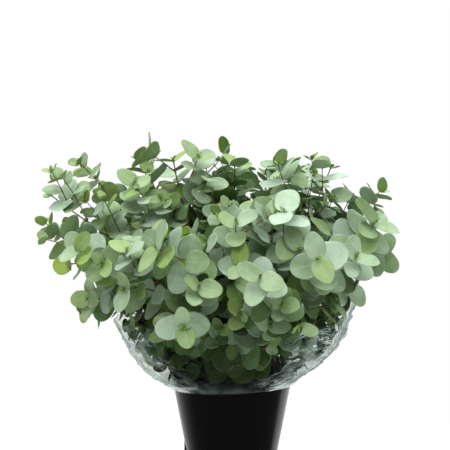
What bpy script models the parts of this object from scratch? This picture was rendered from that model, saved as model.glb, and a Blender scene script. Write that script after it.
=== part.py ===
"""A florist's bucket of silver dollar eucalyptus: leafy stems standing in water, with a clear film sleeve.

+Z is up, the front is -Y, and the origin is the centre of the bucket's base. Lengths are in metres.
"""

import math
import random

import bmesh
import bpy
from mathutils import Matrix, Vector
from mathutils.bvhtree import BVHTree

MM = 0.001
FLAT_ANGLE = math.radians(0.05)

# The bucket, a tapered plastic pail
BUCKET_HEIGHT = 0.280
BUCKET_BASE_RADIUS = 0.0555
BUCKET_FLARE = 0.191
BUCKET_WALL = 2.2 * MM
BUCKET_FLOOR = 3.0 * MM
RIM_HEIGHT = 9.0 * MM
RIM_OUT = 4.0 * MM
RIM_LIP = 3.0 * MM
BUCKET_SIDES = 32
FIN_AZIMUTHS = (180.0, 300.0, 60.0)
FIN_TOP = 0.156
FIN_BOTTOM = 0.104
FIN_RADIUS = 0.0855
FIN_THICKNESS = 3.0 * MM
SMOOTH_ANGLE = math.radians(35)

# The water that the stems stand in
WATER_DEPTH = 0.085
FIT_GAP = 0.35 * MM
HOLE_OVERRUN = 0.010

# The clear film sleeve, drawn in round the bucket below its rim and open at the top
SLEEVE_HEM = 0.2525
SLEEVE_HEM_TILT = 0.0059
SLEEVE_HEM_HIGH_SIDE = math.radians(315)
SLEEVE_THICKNESS = 0.8 * MM
SLEEVE_SWELL = 0.130
SLEEVE_RISE = 0.0735
SLEEVE_POWER = 1.08
SLEEVE_POWER_LEAN = 0.07
SLEEVE_LOW_EDGE = 0.374
SLEEVE_BACK_RISE = 0.205
SLEEVE_BACK_AZIMUTH = 60.0
SLEEVE_BACK_WIDTH = 52.0
SLEEVE_SIDES = 32
SLEEVE_RINGS = 5
SLEEVE_RING_CROWDING = 1.3
SLEEVE_PROBE_SIDES = 48
SLEEVE_PROBE_RINGS = 8
SLEEVE_CLEARANCE = 5.0 * MM

# The cut stems
SEED = 24
STEM_FOOT_CIRCLE = 0.046
STEM_MOUTH_CIRCLE = 0.084
ARCH_START_HEIGHT = 0.270
STEM_FOOT_RADIUS = 2.7 * MM
STEM_TIP_RADIUS = 1.1 * MM
STEM_TRIES = 60
STEM_PROBE_START = 6.0 * MM
TIP_TURN_PLAY = 3.0
TIP_REACH_PLAY = (0.97, 1.02)
TIP_HEIGHT_PLAY = 0.008
ARCH_RISE = (0.40, 0.52)
ARCH_DRAW = (0.30, 0.42)
ARCH_PIECES = 14
TUBE_CLEARANCE = 1.5 * MM
TUBE_PROBE_STEP = 0.02
PROBE_SIDES = 6
SQUARE_CORNER = 1.25
CHORD_TOLERANCE = 1.5 * MM

# The nodes along them, where leaves and twigs stand
FIRST_NODE_HEIGHT = 0.288
MAIN_NODE_STEP = 0.031
TWIG_NODE_STEP = 0.025
TIP_STEP_SHARE = 0.62
NODE_STEP_PLAY = (0.85, 1.15)
LAST_STEP_SHARE = 0.4
NODE_TURN_PLAY = 0.12
NODE_HALF_HEIGHT = 1.0 * MM
TWIG_NODE_SCALE = 2.0

# The side twigs. A pair holds the values at the stem's foot and tip, or the limits of a random draw.
TWIG_ROOT_RADIUS = 1.35 * MM
TWIG_TIP_RADIUS = 0.75 * MM
TWIG_TRIES = 8
TWIG_LENGTHS = (0.14, 0.065)
TWIG_LENGTH_PLAY = (0.75, 1.15)
TWIG_SHRINK_PER_TRY = 0.08
TWIG_SPREADS = (78, 42)
TWIG_SPREAD_PLAY = 10
TWIG_TURN_PLAY = 0.35
TWIG_BEND_OUT = (0.04, 0.24)
TWIG_BEND_UP = (-0.10, 0.22)
TWIG_PIECES = 6
TWIG_PROBE_START = 7.0 * MM
TWIG_TUBE_START = 4.0 * MM
TWIG_FIRST_NODE = 0.020
TWIG_START = 8.0 * MM

# Where each stem's tip stands in the crown: azimuth in degrees, distance from the middle, height, the slope
# of the tip above level in degrees, and the length of its last leaves. The left is 180 and the front 270.
STEM_TIPS = (
    (177, 0.332, 0.602, 38, 0.021),
    (163, 0.262, 0.620, 58, 0.022),
    (192, 0.328, 0.528, 16, 0.023),
    (204, 0.308, 0.478, -4, 0.036),
    (184, 0.262, 0.396, -24, 0.038),
    (150, 0.190, 0.650, 70, 0.034),
    (213, 0.125, 0.655, 80, 0.038),
    (122, 0.090, 0.655, 84, 0.034),
    (278, 0.045, 0.640, 86, 0.038),
    (62, 0.150, 0.630, 72, 0.030),
    (318, 0.155, 0.612, 70, 0.036),
    (18, 0.196, 0.636, 68, 0.020),
    (352, 0.252, 0.556, 22, 0.028),
    (340, 0.252, 0.512, 4, 0.048),
    (8, 0.242, 0.488, -8, 0.045),
    (327, 0.240, 0.445, -16, 0.040),
    (230, 0.270, 0.450, -4, 0.043),
    (251, 0.262, 0.495, 10, 0.050),
    (246, 0.240, 0.376, -48, 0.038),
    (272, 0.220, 0.552, 34, 0.040),
    (294, 0.228, 0.525, 20, 0.048),
    (306, 0.262, 0.475, 0, 0.048),
    (283, 0.252, 0.425, -18, 0.042),
    (300, 0.236, 0.384, -44, 0.034),
    (256, 0.130, 0.606, 64, 0.038),
    (202, 0.195, 0.595, 52, 0.036),
    (95, 0.210, 0.608, 50, 0.036),
    (122, 0.265, 0.555, 28, 0.038),
    (45, 0.230, 0.618, 50, 0.034),
    (143, 0.285, 0.485, 2, 0.042),
    (336, 0.190, 0.585, 46, 0.040),
)

# The leaves. A pair holds the values at the foot and tip of an axis, or the limits of a random draw.
LEAF_LENGTH = 0.060
TWIG_LEAF_SHARE = 0.84
LEAF_FOOT_SPREAD = 82
LEAF_TIP_SPREADS = (30, 82)
LEAF_SPREAD_PLAY = 9
LEAF_TURN_PLAY = 0.16
LEAF_ROLL_PLAY = 12
LEAF_SIZE_PLAY = (0.9, 1.1)
LEAF_WIDTHS = (0.88, 1.08)
LEAF_CUPS = (0.02, 0.13)
LEAF_TAPER = 1.6
CUP_ALONG = 0.5
CUP_ACROSS = 0.8
YOUNG_FROM = 0.55
YOUNG_WIDTH = 0.80
LEAF_TRIES = 9
LEAF_LOOSER_PER_TRY = 0.3
LEAF_SHRINK_PER_TRY = 0.045
LEAF_REACH = 0.6

# Their blades, whose outline is given by shares of the length
BLADE_MIDDLE = 0.45
BLADE_BREADTH_SHIFT = 0.8
LEAF_CENTRE_THICKNESS = 1.2 * MM
LEAF_CLEARANCE = 0.6 * MM
PROBE_LARGER = 1.04
PROBE_TIP = 1.03
FREE_PROBE_START = 0.11
WHOLE_PROBE_START = 0.03
LARGE_LEAF = 0.034
LARGE_OUTLINE = (0.07, 0.30, 0.62, 0.89)
SMALL_OUTLINE = (0.12, 0.45, 0.84)

# How much of the foliage the solids keep
TWIGS_KEPT_PER_STEM = 2
PAIRS_KEPT_PER_STEM = 3
OUTLINE_VIEWS = 4
OUTLINE_BAND = 0.038
OUTLINE_LOWEST = 0.36
CROWN_CENTRE = Vector((0, 0, 0.30))

GOLDEN_ANGLE = math.radians(137.508)


def polar(radius, azimuth, height):
    return Vector((radius * math.cos(azimuth), radius * math.sin(azimuth), height))


def lerp(a, b, t):
    return a + (b - a) * t


# Shapes of the bucket and the sleeve as formulas

def bucket_radius(height):
    """Radius of the bucket's outer wall at a height."""
    return BUCKET_BASE_RADIUS + BUCKET_FLARE * height


def sleeve_hem(azimuth):
    """Height of the film's hem, which is drawn in under the rim and a little higher at the front right."""
    return SLEEVE_HEM + SLEEVE_HEM_TILT * math.cos(azimuth - SLEEVE_HEM_HIGH_SIDE)


def sleeve_radius(height, azimuth):
    """Radius of the film, snug at the hem and swelling out over the rim, sooner on the left."""
    hem = sleeve_hem(azimuth)
    power = SLEEVE_POWER + SLEEVE_POWER_LEAN * math.cos(azimuth)
    risen = ((height - hem) / SLEEVE_RISE) ** power
    return bucket_radius(hem) + FIT_GAP + SLEEVE_SWELL * (1 - math.exp(-risen))


def sleeve_edge(azimuth):
    """Height of the film's upper edge, low at the front and left and standing up at the back right."""
    away = (math.degrees(azimuth) - SLEEVE_BACK_AZIMUTH + 180) % 360 - 180
    return SLEEVE_LOW_EDGE + SLEEVE_BACK_RISE * math.exp(-((away / SLEEVE_BACK_WIDTH) ** 2))


def sleeve_shell(inset, outset, rings, sides):
    """Vertices and faces of a closed shell along the film, from inset inside it to outset outside it."""
    verts, faces = [], []
    for offset in (outset, -inset):
        for ring in range(rings + 1):
            for side in range(sides):
                azimuth = 2 * math.pi * side / sides
                share = (ring / rings) ** SLEEVE_RING_CROWDING
                height = lerp(sleeve_hem(azimuth), sleeve_edge(azimuth), share)
                verts.append(polar(sleeve_radius(height, azimuth) + offset, azimuth, height))
    inner = (rings + 1) * sides
    for ring in range(rings):
        for side in range(sides):
            after = (side + 1) % sides
            a, b = ring * sides + side, ring * sides + after
            c, d = a + sides, b + sides
            faces += [(a, b, d), (a, d, c)]
            faces += [(inner + a, inner + d, inner + b), (inner + a, inner + c, inner + d)]
    for side in range(sides):
        after = (side + 1) % sides
        top, top_after = rings * sides + side, rings * sides + after
        faces += [(side, inner + after, after), (side, inner + side, inner + after)]
        faces += [(top, top_after, inner + top_after), (top, inner + top_after, inner + top)]
    return verts, faces


def bucket_profile():
    """The bucket's outline from the middle of its base, up the outside, over the rim and down the inside."""
    shoulder = BUCKET_HEIGHT - RIM_HEIGHT
    wall = bucket_radius(shoulder)
    return [
        (BUCKET_BASE_RADIUS - 2 * MM, 0.0),
        (BUCKET_BASE_RADIUS, 2 * MM),
        (wall, shoulder),
        (wall + RIM_OUT, shoulder),
        (wall + RIM_OUT + 0.6 * MM, BUCKET_HEIGHT - 1.5 * MM),
        (wall + RIM_LIP, BUCKET_HEIGHT),
        (wall - BUCKET_WALL + 1.0 * MM, BUCKET_HEIGHT),
        (wall - BUCKET_WALL, shoulder),
        (bucket_radius(BUCKET_FLOOR) - BUCKET_WALL, BUCKET_FLOOR),
    ]


def turned(profile, sides):
    """A closed solid of revolution from a profile whose ends are closed by flat discs."""
    verts, faces = [], []
    for radius, height in profile:
        verts += [polar(radius, 2 * math.pi * k / sides, height) for k in range(sides)]
    for ring in range(len(profile) - 1):
        for k in range(sides):
            a, b = ring * sides + k, ring * sides + (k + 1) % sides
            faces += [(a, b, b + sides, a + sides)]
    last = (len(profile) - 1) * sides
    faces.append(tuple(reversed(range(sides))))
    faces.append(tuple(last + k for k in range(sides)))
    return verts, faces


# How the stems grow. Every tube and blade is tested, so that no two stems meet.

class Axis:
    """The centre line of a stem or twig, with its radius at each end and the nodes where leaves stand."""

    def __init__(self, points, root_radius, tip_radius):
        self.points = points
        self.root_radius = root_radius
        self.tip_radius = tip_radius
        self.nodes = []
        self.reached = [0.0]
        self.directions = []
        self.sides = []
        side = None
        for a, b in zip(points, points[1:]):
            self.reached.append(self.reached[-1] + (b - a).length)
            direction = (b - a).normalized()
            side = perpendicular(direction) if side is None else square_to(side, direction)
            self.directions.append(direction)
            self.sides.append(side)
        self.length = self.reached[-1]

    def frame(self, s):
        """Point, direction and side vector at a distance along the axis, which runs on past its ends."""
        k = 0
        while k < len(self.directions) - 1 and self.reached[k + 1] < s:
            k += 1
        point = self.points[k] + self.directions[k] * (s - self.reached[k])
        return point, self.directions[k], self.sides[k]

    def radial(self, s, turn):
        """The direction square to the axis at a distance along it and a turn about it."""
        _, direction, side = self.frame(s)
        return side * math.cos(turn) + direction.cross(side) * math.sin(turn)

    def radius(self, s):
        return lerp(self.root_radius, self.tip_radius, min(max(s / self.length, 0.0), 1.0))


class Node:
    """A place on an axis that carries a pair of leaves, or a leaf and a twig."""

    def __init__(self, s, turn):
        self.s = s
        self.turn = turn
        self.leaves = {}
        self.twig = None


class Leaf:
    """A blade: where it starts, which way it runs and faces, its size and how far it cups."""

    def __init__(self, root, along, normal, length, width, cup):
        self.root = root
        self.along = along
        self.normal = normal
        self.length = length
        self.width = width
        self.cup = cup

    def point(self, u, v, lift=0.0):
        """A point of the blade: u along it from 0 to 1, v across it in widths, lift above it in metres."""
        across = self.normal.cross(self.along)
        bow = ((u - BLADE_MIDDLE) / (1 - BLADE_MIDDLE)) ** 2 * CUP_ALONG
        rise = self.cup * self.length * (bow + (2 * v) ** 2 * CUP_ACROSS)
        return (
            self.root
            + self.along * (u * self.length)
            + across * (v * self.width)
            + self.normal * (rise + lift)
        )


class Stem:
    """A main axis with its twigs, the length of the leaves at its tip and its own random draws."""

    def __init__(self, name, main, tip_leaf, rng):
        self.name = name
        self.main = main
        self.tip_leaf = tip_leaf
        self.rng = rng
        self.twigs = []

    def axes(self):
        return [self.main, *self.twigs]


def square_to(vector, direction):
    return (vector - direction * vector.dot(direction)).normalized()


def perpendicular(direction):
    helper = Vector((0, 0, 1)) if abs(direction.z) < 0.9 else Vector((1, 0, 0))
    return direction.cross(helper).normalized()


def bezier(a, b, c, d, t):
    s = 1 - t
    return a * s**3 + b * (3 * s * s * t) + c * (3 * s * t * t) + d * t**3


def matched_slots():
    """For each tip a place in the bucket's mouth, so that the stems fan out with little crossing.

    The places are spread evenly, as directions with lengths from 0 to 1. Places are swapped between stems for
    as long as that brings them nearer to where the tips are.
    """
    count = len(STEM_TIPS)
    ranked = sorted(range(count), key=lambda k: STEM_TIPS[k][1])
    ranks = {index: math.sqrt((order + 0.5) / count) for order, index in enumerate(ranked)}
    wanted = [polar(ranks[k], math.radians(STEM_TIPS[k][0]), 0.0) for k in range(count)]
    slots = [polar(ranks[k], ranked.index(k) * GOLDEN_ANGLE, 0.0) for k in range(count)]
    swapped = True
    while swapped:
        swapped = False
        for a in range(count):
            for b in range(a):
                as_is = (slots[a] - wanted[a]).length_squared + (slots[b] - wanted[b]).length_squared
                changed = (slots[b] - wanted[a]).length_squared + (slots[a] - wanted[b]).length_squared
                if changed < as_is - 1e-9:
                    slots[a], slots[b] = slots[b], slots[a]
                    swapped = True
    return slots


def main_axis(tip_row, slot, rng):
    """A stem that stands straight in the bucket and arches out of it to its place in the crown."""
    azimuth, reach, height, slope, _ = tip_row
    foot = slot * STEM_FOOT_CIRCLE + Vector((0, 0, BUCKET_FLOOR + FIT_GAP))
    mouth = slot * STEM_MOUTH_CIRCLE + Vector((0, 0, ARCH_START_HEIGHT))
    upward = (mouth - foot).normalized()
    foot.z += SQUARE_CORNER * STEM_FOOT_RADIUS * math.hypot(upward.x, upward.y)
    turn = math.radians(azimuth + rng.uniform(-TIP_TURN_PLAY, TIP_TURN_PLAY))
    tip_reach = reach * rng.uniform(*TIP_REACH_PLAY)
    tip = polar(tip_reach, turn, height + rng.uniform(-TIP_HEIGHT_PLAY, TIP_HEIGHT_PLAY))
    lean = math.radians(slope)
    heading = polar(math.cos(lean), turn, math.sin(lean))
    span = (tip - mouth).length
    rise = span * rng.uniform(*ARCH_RISE)
    draw = span * rng.uniform(*ARCH_DRAW)
    curve = [
        bezier(mouth, mouth + upward * rise, tip - heading * draw, tip, k / ARCH_PIECES)
        for k in range(ARCH_PIECES + 1)
    ]
    return Axis([foot, *curve], STEM_FOOT_RADIUS, STEM_TIP_RADIUS)


def add_nodes(axis, begin, step, rng):
    """Nodes at shortening distances up to the tip, each a quarter turn on from the one before."""
    turn = rng.uniform(0, math.pi)
    s = begin
    while s < axis.length - LAST_STEP_SHARE * step:
        axis.nodes.append(Node(s, turn))
        turn += math.pi / 2 + rng.uniform(-NODE_TURN_PLAY, NODE_TURN_PLAY)
        s += step * lerp(1.0, TIP_STEP_SHARE, s / axis.length) * rng.uniform(*NODE_STEP_PLAY)
    axis.nodes.append(Node(axis.length - NODE_HALF_HEIGHT, turn))


def ring(axis, s, turn, sides, swell=0.0):
    """A ring of points round an axis, with the middle of a side facing the turn."""
    centre, direction, side = axis.frame(s)
    up = direction.cross(side)
    corner = (axis.radius(s) * (SQUARE_CORNER if sides == 4 else 1.0)) + swell
    angles = [turn + math.pi * (2 * k - 1) / sides for k in range(sides)]
    return [centre + (side * math.cos(a) + up * math.sin(a)) * corner for a in angles]


def tube(rings):
    """Vertices and faces of a closed tube through rings of points."""
    sides = len(rings[0])
    verts = [point for points in rings for point in points]
    faces = []
    for row in range(len(rings) - 1):
        for k in range(sides):
            a, b = row * sides + k, row * sides + (k + 1) % sides
            faces.append((a, b, b + sides, a + sides))
    last = (len(rings) - 1) * sides
    faces.append(tuple(reversed(range(sides))))
    faces.append(tuple(last + k for k in range(sides)))
    return verts, faces


def half_width(u):
    """Half the blade's width, in widths, at u along it: broad at the base and round at the end."""
    shifted = u**BLADE_BREADTH_SHIFT
    return math.sqrt(max(4 * shifted * (1 - shifted), 0.0)) / 2


def blade_outline(leaf):
    """The stations along a blade's edge, more of them on a large one."""
    return LARGE_OUTLINE if leaf.length > LARGE_LEAF else SMALL_OUTLINE


def test_blade(leaf, root):
    """The blade a little thicker and wider than it is made, from the given share of its length on."""
    right = [(u, half_width(u) * PROBE_LARGER) for u in blade_outline(leaf)]
    outline = [(root, 0.0), *right, (PROBE_TIP, 0.0), *[(u, -v) for u, v in reversed(right)]]
    verts = [leaf.point(u, v) for u, v in outline]
    half = LEAF_CENTRE_THICKNESS / 2 + LEAF_CLEARANCE
    verts += [leaf.point(BLADE_MIDDLE, 0.0, half), leaf.point(BLADE_MIDDLE, 0.0, -half)]
    count = len(outline)
    faces = []
    for k in range(count):
        after = (k + 1) % count
        faces += [(count, k, after), (count + 1, after, k)]
    return tree((verts, faces))


def test_tube(axis, begin):
    """The tube a little thicker than it is made, from a distance along its axis on."""
    count = max(2, int(axis.length / TUBE_PROBE_STEP))
    stations = [lerp(begin, axis.length, k / count) for k in range(count + 1)]
    return tree(tube([ring(axis, s, 0.0, PROBE_SIDES, TUBE_CLEARANCE) for s in stations]))


def tree(shape):
    return BVHTree.FromPolygons([tuple(v) for v in shape[0]], shape[1])


def joined(shapes):
    verts, faces = [], []
    for more, polygons in shapes:
        start = len(verts)
        verts += more
        faces += [tuple(start + k for k in polygon) for polygon in polygons]
    return verts, faces


def outwardness(place):
    """How far out in the crown a place lies."""
    return (place - CROWN_CENTRE).length


class Grove:
    """All the stems while they grow, with what is needed to keep them clear of each other."""

    def __init__(self):
        self.stems = []
        self.tubes = []
        self.blades = []
        keep_out = [
            sleeve_shell(SLEEVE_CLEARANCE, SLEEVE_CLEARANCE, SLEEVE_PROBE_RINGS, SLEEVE_PROBE_SIDES),
            turned(bucket_profile(), BUCKET_SIDES),
        ]
        self.fixed = tree(joined(keep_out))

    def tube_is_clear(self, axis, begin):
        probe = test_tube(axis, begin)
        if probe.overlap(self.fixed):
            return False
        return not any(probe.overlap(other) for other in self.tubes)

    def add_mains(self):
        slots = matched_slots()
        for index, row in enumerate(STEM_TIPS):
            rng = random.Random(SEED * 1000 + index)
            for _ in range(STEM_TRIES):
                axis = main_axis(row, slots[index], rng)
                if self.tube_is_clear(axis, STEM_PROBE_START):
                    break
            else:
                raise ValueError(f"no room for stem {index + 1}")
            self.stems.append(Stem(f"leafy_stem_{index + 1:02d}", axis, row[-1], rng))
            self.tubes.append(test_tube(axis, 0.0))
            add_nodes(axis, FIRST_NODE_HEIGHT, MAIN_NODE_STEP, rng)

    def add_twig(self, stem, node):
        """A side twig from a node of the stem's main axis, bending outwards and up."""
        rng = stem.rng
        origin, direction, _ = stem.main.frame(node.s)
        share = (node.s - FIRST_NODE_HEIGHT) / (stem.main.length - FIRST_NODE_HEIGHT)
        outward = Vector((origin.x, origin.y, 0.0)).normalized()
        for attempt in range(TWIG_TRIES):
            radial = stem.main.radial(node.s, node.turn + rng.uniform(-TWIG_TURN_PLAY, TWIG_TURN_PLAY))
            spread = lerp(*TWIG_SPREADS, math.sqrt(share)) + rng.uniform(-TWIG_SPREAD_PLAY, TWIG_SPREAD_PLAY)
            spread = math.radians(spread)
            heading = (direction * math.cos(spread) + radial * math.sin(spread)).normalized()
            length = lerp(*TWIG_LENGTHS, share) * rng.uniform(*TWIG_LENGTH_PLAY)
            length *= 1 - TWIG_SHRINK_PER_TRY * attempt
            bend = outward * rng.uniform(*TWIG_BEND_OUT) + Vector((0, 0, rng.uniform(*TWIG_BEND_UP)))
            middle = origin + heading * (length / 2)
            end = origin + (heading + bend) * length
            shares = [k / TWIG_PIECES for k in range(TWIG_PIECES + 1)]
            points = [origin.lerp(middle, t).lerp(middle.lerp(end, t), t) for t in shares]
            axis = Axis(points, TWIG_ROOT_RADIUS, TWIG_TIP_RADIUS)
            if self.tube_is_clear(axis, TWIG_PROBE_START):
                node.twig = axis
                stem.twigs.append(axis)
                self.tubes.append(test_tube(axis, TWIG_TUBE_START))
                add_nodes(axis, TWIG_FIRST_NODE, TWIG_NODE_STEP, rng)
                return

    def add_twigs(self):
        """A twig at every second node of each stem, on the side that faces outwards more."""
        for stem in self.stems:
            for node in stem.main.nodes[0:-1:2]:
                outward = stem.main.frame(node.s)[0]
                if stem.main.radial(node.s, node.turn).dot(outward) < 0:
                    node.turn += math.pi
                self.add_twig(stem, node)

    def leaf_probe(self, leaf, centre):
        """The leaf's test blade, or nothing where it would meet a stem, a blade, the bucket or the sleeve."""
        free = test_blade(leaf, FREE_PROBE_START)
        if free.overlap(self.fixed) or any(free.overlap(other) for other in self.tubes):
            return None
        whole = test_blade(leaf, WHOLE_PROBE_START)
        for other, place, reach in self.blades:
            near = (place - centre).length < leaf.length * LEAF_REACH + reach
            if near and whole.overlap(other):
                return None
        return whole

    def add_leaf(self, axis, node, half, length, spread, youth, rng):
        """A leaf on one side of a node, turned a little this way and that until it finds room."""
        origin, direction, _ = axis.frame(node.s)
        for attempt in range(LEAF_TRIES):
            loose = 1 + LEAF_LOOSER_PER_TRY * attempt
            turn = node.turn + half * math.pi + rng.uniform(-LEAF_TURN_PLAY, LEAF_TURN_PLAY) * loose
            radial = axis.radial(node.s, turn)
            tilt = math.radians(spread + rng.uniform(-LEAF_SPREAD_PLAY, LEAF_SPREAD_PLAY) * loose)
            along = (direction * math.cos(tilt) + radial * math.sin(tilt)).normalized()
            normal = direction * math.sin(tilt) - radial * math.cos(tilt)
            roll = math.radians(rng.uniform(-LEAF_ROLL_PLAY, LEAF_ROLL_PLAY) * loose)
            normal = (Matrix.Rotation(roll, 3, along) @ normal).normalized()
            size = length * rng.uniform(*LEAF_SIZE_PLAY) * (1 - LEAF_SHRINK_PER_TRY * attempt)
            width = size * rng.uniform(*LEAF_WIDTHS) * lerp(1.0, YOUNG_WIDTH, youth)
            leaf = Leaf(origin, along, normal, size, width, rng.uniform(*LEAF_CUPS))
            centre = leaf.point(0.5, 0.0)
            probe = self.leaf_probe(leaf, centre)
            if probe:
                node.leaves[half] = leaf
                self.blades.append((probe, centre, size * LEAF_REACH))
                return

    def add_pair(self, axis, node, largest, smallest, rng):
        """Opposite leaves at a node, or one opposite a twig, smaller and more upright towards the tip."""
        share = node.s / axis.length
        length = lerp(largest, smallest, share**LEAF_TAPER)
        tip_spread = lerp(*LEAF_TIP_SPREADS, smallest / LEAF_LENGTH)
        spread = lerp(LEAF_FOOT_SPREAD, tip_spread, share**2)
        youth = max(0.0, share - YOUNG_FROM) / (1 - YOUNG_FROM)
        halves = (1,) if node.twig else (0, 1)
        for half in halves:
            self.add_leaf(axis, node, half, length, spread, youth, rng)

    def add_leaves(self):
        """Leaves at all the nodes, the outermost first, so that the crown's outside is full."""
        rows = []
        for stem in self.stems:
            for axis in stem.axes():
                largest = LEAF_LENGTH if axis is stem.main else LEAF_LENGTH * TWIG_LEAF_SHARE
                for node in axis.nodes:
                    rows.append((outwardness(axis.frame(node.s)[0]), axis, node, largest, stem))
        rows.sort(key=lambda row: -row[0])
        for _, axis, node, largest, stem in rows:
            self.add_pair(axis, node, largest, stem.tip_leaf, stem.rng)


def grow():
    grove = Grove()
    grove.add_mains()
    grove.add_twigs()
    grove.add_leaves()
    return grove.stems


# Which leaves the solids keep

def spread_out(rows, chosen, count):
    """Choose rows of (thing, place, weight) until there are enough, each far from those already chosen."""
    chosen = list(chosen)
    while len(chosen) < count and len(chosen) < len(rows):
        rest = [row for row in rows if row not in chosen]
        chosen.append(max(rest, key=lambda row: row[2] * min((row[1] - other[1]).length for other in chosen)))
    return chosen


def outermost(stems):
    """The nodes, with their axes, whose leaves make the crown's outline as seen from several sides.

    In each view these are the highest leaf in every band across, and the furthest to each side at each height.
    """
    reaches = [
        (leaf.point(u, v), (node, axis))
        for stem in stems
        for axis in stem.axes()
        for node in axis.nodes
        for leaf in node.leaves.values()
        for u, v in ((1.0, 0.0), (BLADE_MIDDLE, 0.5), (BLADE_MIDDLE, -0.5))
    ]
    reaches = [reach for reach in reaches if reach[0].z > OUTLINE_LOWEST]
    found = set()
    for view in range(OUTLINE_VIEWS):
        sideways = polar(1.0, math.pi * view / OUTLINE_VIEWS, 0.0)
        furthest = {}
        for place, owner in reaches:
            aside = place.dot(sideways)
            column, row = round(aside / OUTLINE_BAND), round(place.z / OUTLINE_BAND)
            for band, reach in ((("up", column), place.z), (("right", row), aside), (("left", row), -aside)):
                if band not in furthest or reach > furthest[band][0]:
                    furthest[band] = (reach, owner)
        found |= {thing for _, owner in furthest.values() for thing in owner}
    return found


def keep_twigs(stem, wanted):
    """The main axis, the wanted twigs, and others whose tips show the stem's shape best."""
    rows = [(axis, axis.points[-1], outwardness(axis.points[-1])) for axis in stem.axes()]
    first = [row for row in rows if row[0] is stem.main or row[0] in wanted]
    count = max(len(first), TWIGS_KEPT_PER_STEM + 1)
    return [row[0] for row in spread_out(rows, first, count)]


def keep_nodes(axes, wanted):
    """The wanted leaves, those at the tips and opposite twigs, and pairs that show the stem's shape best."""
    rows = []
    first = []
    for axis in axes:
        for node in axis.nodes:
            place = axis.frame(node.s)[0]
            area = sum(leaf.length * leaf.width for leaf in node.leaves.values())
            row = (node, place, area * outwardness(place))
            if node is axis.nodes[-1] or node.twig in axes or node in wanted:
                first.append(row)
            elif len(node.leaves) == 2:
                rows.append(row)
    return [row[0] for row in spread_out([*first, *rows], first, len(first) + PAIRS_KEPT_PER_STEM)]


# Leafy stems as bodies whose blades and twigs grow out of the sides of square tubes

class Body:
    """Vertices and triangles of one closed body, and the node or twig that each triangle can go with."""

    def __init__(self):
        self.verts = []
        self.faces = []
        self.owners = []

    def add(self, points):
        """Add vertices and return their places in the list."""
        start = len(self.verts)
        self.verts += points
        return list(range(start, len(self.verts)))

    def face(self, corners, owner=None):
        """Add a face as a fan of triangles."""
        for k in range(1, len(corners) - 1):
            self.faces.append((corners[0], corners[k], corners[k + 1]))
            self.owners.append(owner)

    def skin(self, lower, upper, open_sides=(), owner=None):
        """The sides between two rings, but for those that something grows out of."""
        count = len(lower)
        for k in range(count):
            if k not in open_sides:
                after = (k + 1) % count
                self.face((lower[k], lower[after], upper[after], upper[k]), owner)

    def crossing_owners(self, others):
        """The body as a tree, and what has to go because it crosses this body or another."""
        shape = tree((self.verts, self.faces))
        found = set()
        for a, b in shape.overlap(shape):
            if not set(self.faces[a]) & set(self.faces[b]):
                owners = {self.owners[a], self.owners[b]}
                nodes = {owner for owner in owners if isinstance(owner, Node)}
                found |= nodes or owners - {None} or {None}
        for other in others:
            found |= {self.owners[a] for a, _ in shape.overlap(other)}
        return shape, found


def nearest_turn(turn, previous):
    """The turn that shows a square ring as turned least from the ring before, and the quarters between."""
    quarters = round((turn - previous) / (math.pi / 2))
    return turn - quarters * math.pi / 2, quarters


def grow_blade(body, node, leaf, lower, upper):
    """A lens-shaped blade that grows out of a side of a stem, between two corners below and two above."""
    across = leaf.normal.cross(leaf.along)
    if (body.verts[lower[1]] - body.verts[lower[0]]).dot(across) < 0:
        lower, upper = lower[::-1], upper[::-1]
    stations = [(u, half_width(u)) for u in blade_outline(leaf)]
    edge = [(u, v) for u, v in stations] + [(1.0, 0.0)] + [(u, -v) for u, v in reversed(stations)]
    rim = body.add([leaf.point(u, v) for u, v in edge])
    half = LEAF_CENTRE_THICKNESS / 2
    top, bottom = body.add([leaf.point(BLADE_MIDDLE, 0.0, half), leaf.point(BLADE_MIDDLE, 0.0, -half)])
    for middle, corners in ((top, upper), (bottom, lower)):
        outline = [corners[0], corners[1], *rim]
        for k, corner in enumerate(outline):
            body.face((middle, corner, outline[(k + 1) % len(outline)]), node)
    body.face((upper[1], lower[1], rim[0]), node)
    body.face((lower[0], upper[0], rim[-1]), node)


def stations_between(axis, a, b):
    """The fewest halvings of a stretch of the axis that keep straight chords close to its curve."""
    middle = (a + b) / 2
    chord_middle = (axis.frame(a)[0] + axis.frame(b)[0]) / 2
    if (axis.frame(middle)[0] - chord_middle).length < CHORD_TOLERANCE:
        return []
    return [*stations_between(axis, a, middle), middle, *stations_between(axis, middle, b)]


def grow_axis(body, axis, kept, previous, s, turn, owner=None):
    """A square tube on from a ring at a distance and turn, with what is kept of its blades and twigs."""
    for node in axis.nodes:
        growing = dict(node.leaves) if node in kept else {}
        if node.twig in kept:
            growing[0] = node.twig
        if not growing and node is not axis.nodes[-1]:
            continue
        half = NODE_HALF_HEIGHT * (TWIG_NODE_SCALE if node.twig in kept else 1.0)
        for station in stations_between(axis, s, node.s - half):
            following = body.add(ring(axis, station, turn, 4))
            body.skin(previous, following, owner=owner)
            previous = following
        turn, quarters = nearest_turn(node.turn, turn)
        s = min(node.s + half, axis.length)
        lower = body.add(ring(axis, node.s - half, turn, 4))
        upper = body.add(ring(axis, s, turn, 4))
        sides = {half_turn: (quarters + 2 * half_turn) % 4 for half_turn in growing}
        body.skin(previous, lower, owner=owner)
        body.skin(lower, upper, sides.values(), owner)
        for half_turn, thing in growing.items():
            k = sides[half_turn]
            low, high = [lower[k], lower[(k + 1) % 4]], [upper[k], upper[(k + 1) % 4]]
            if isinstance(thing, Leaf):
                grow_blade(body, node, thing, low, high)
            else:
                grow_twig(body, thing, [*low, *reversed(high)], kept)
        previous = upper
    body.face(previous, owner)


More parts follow.
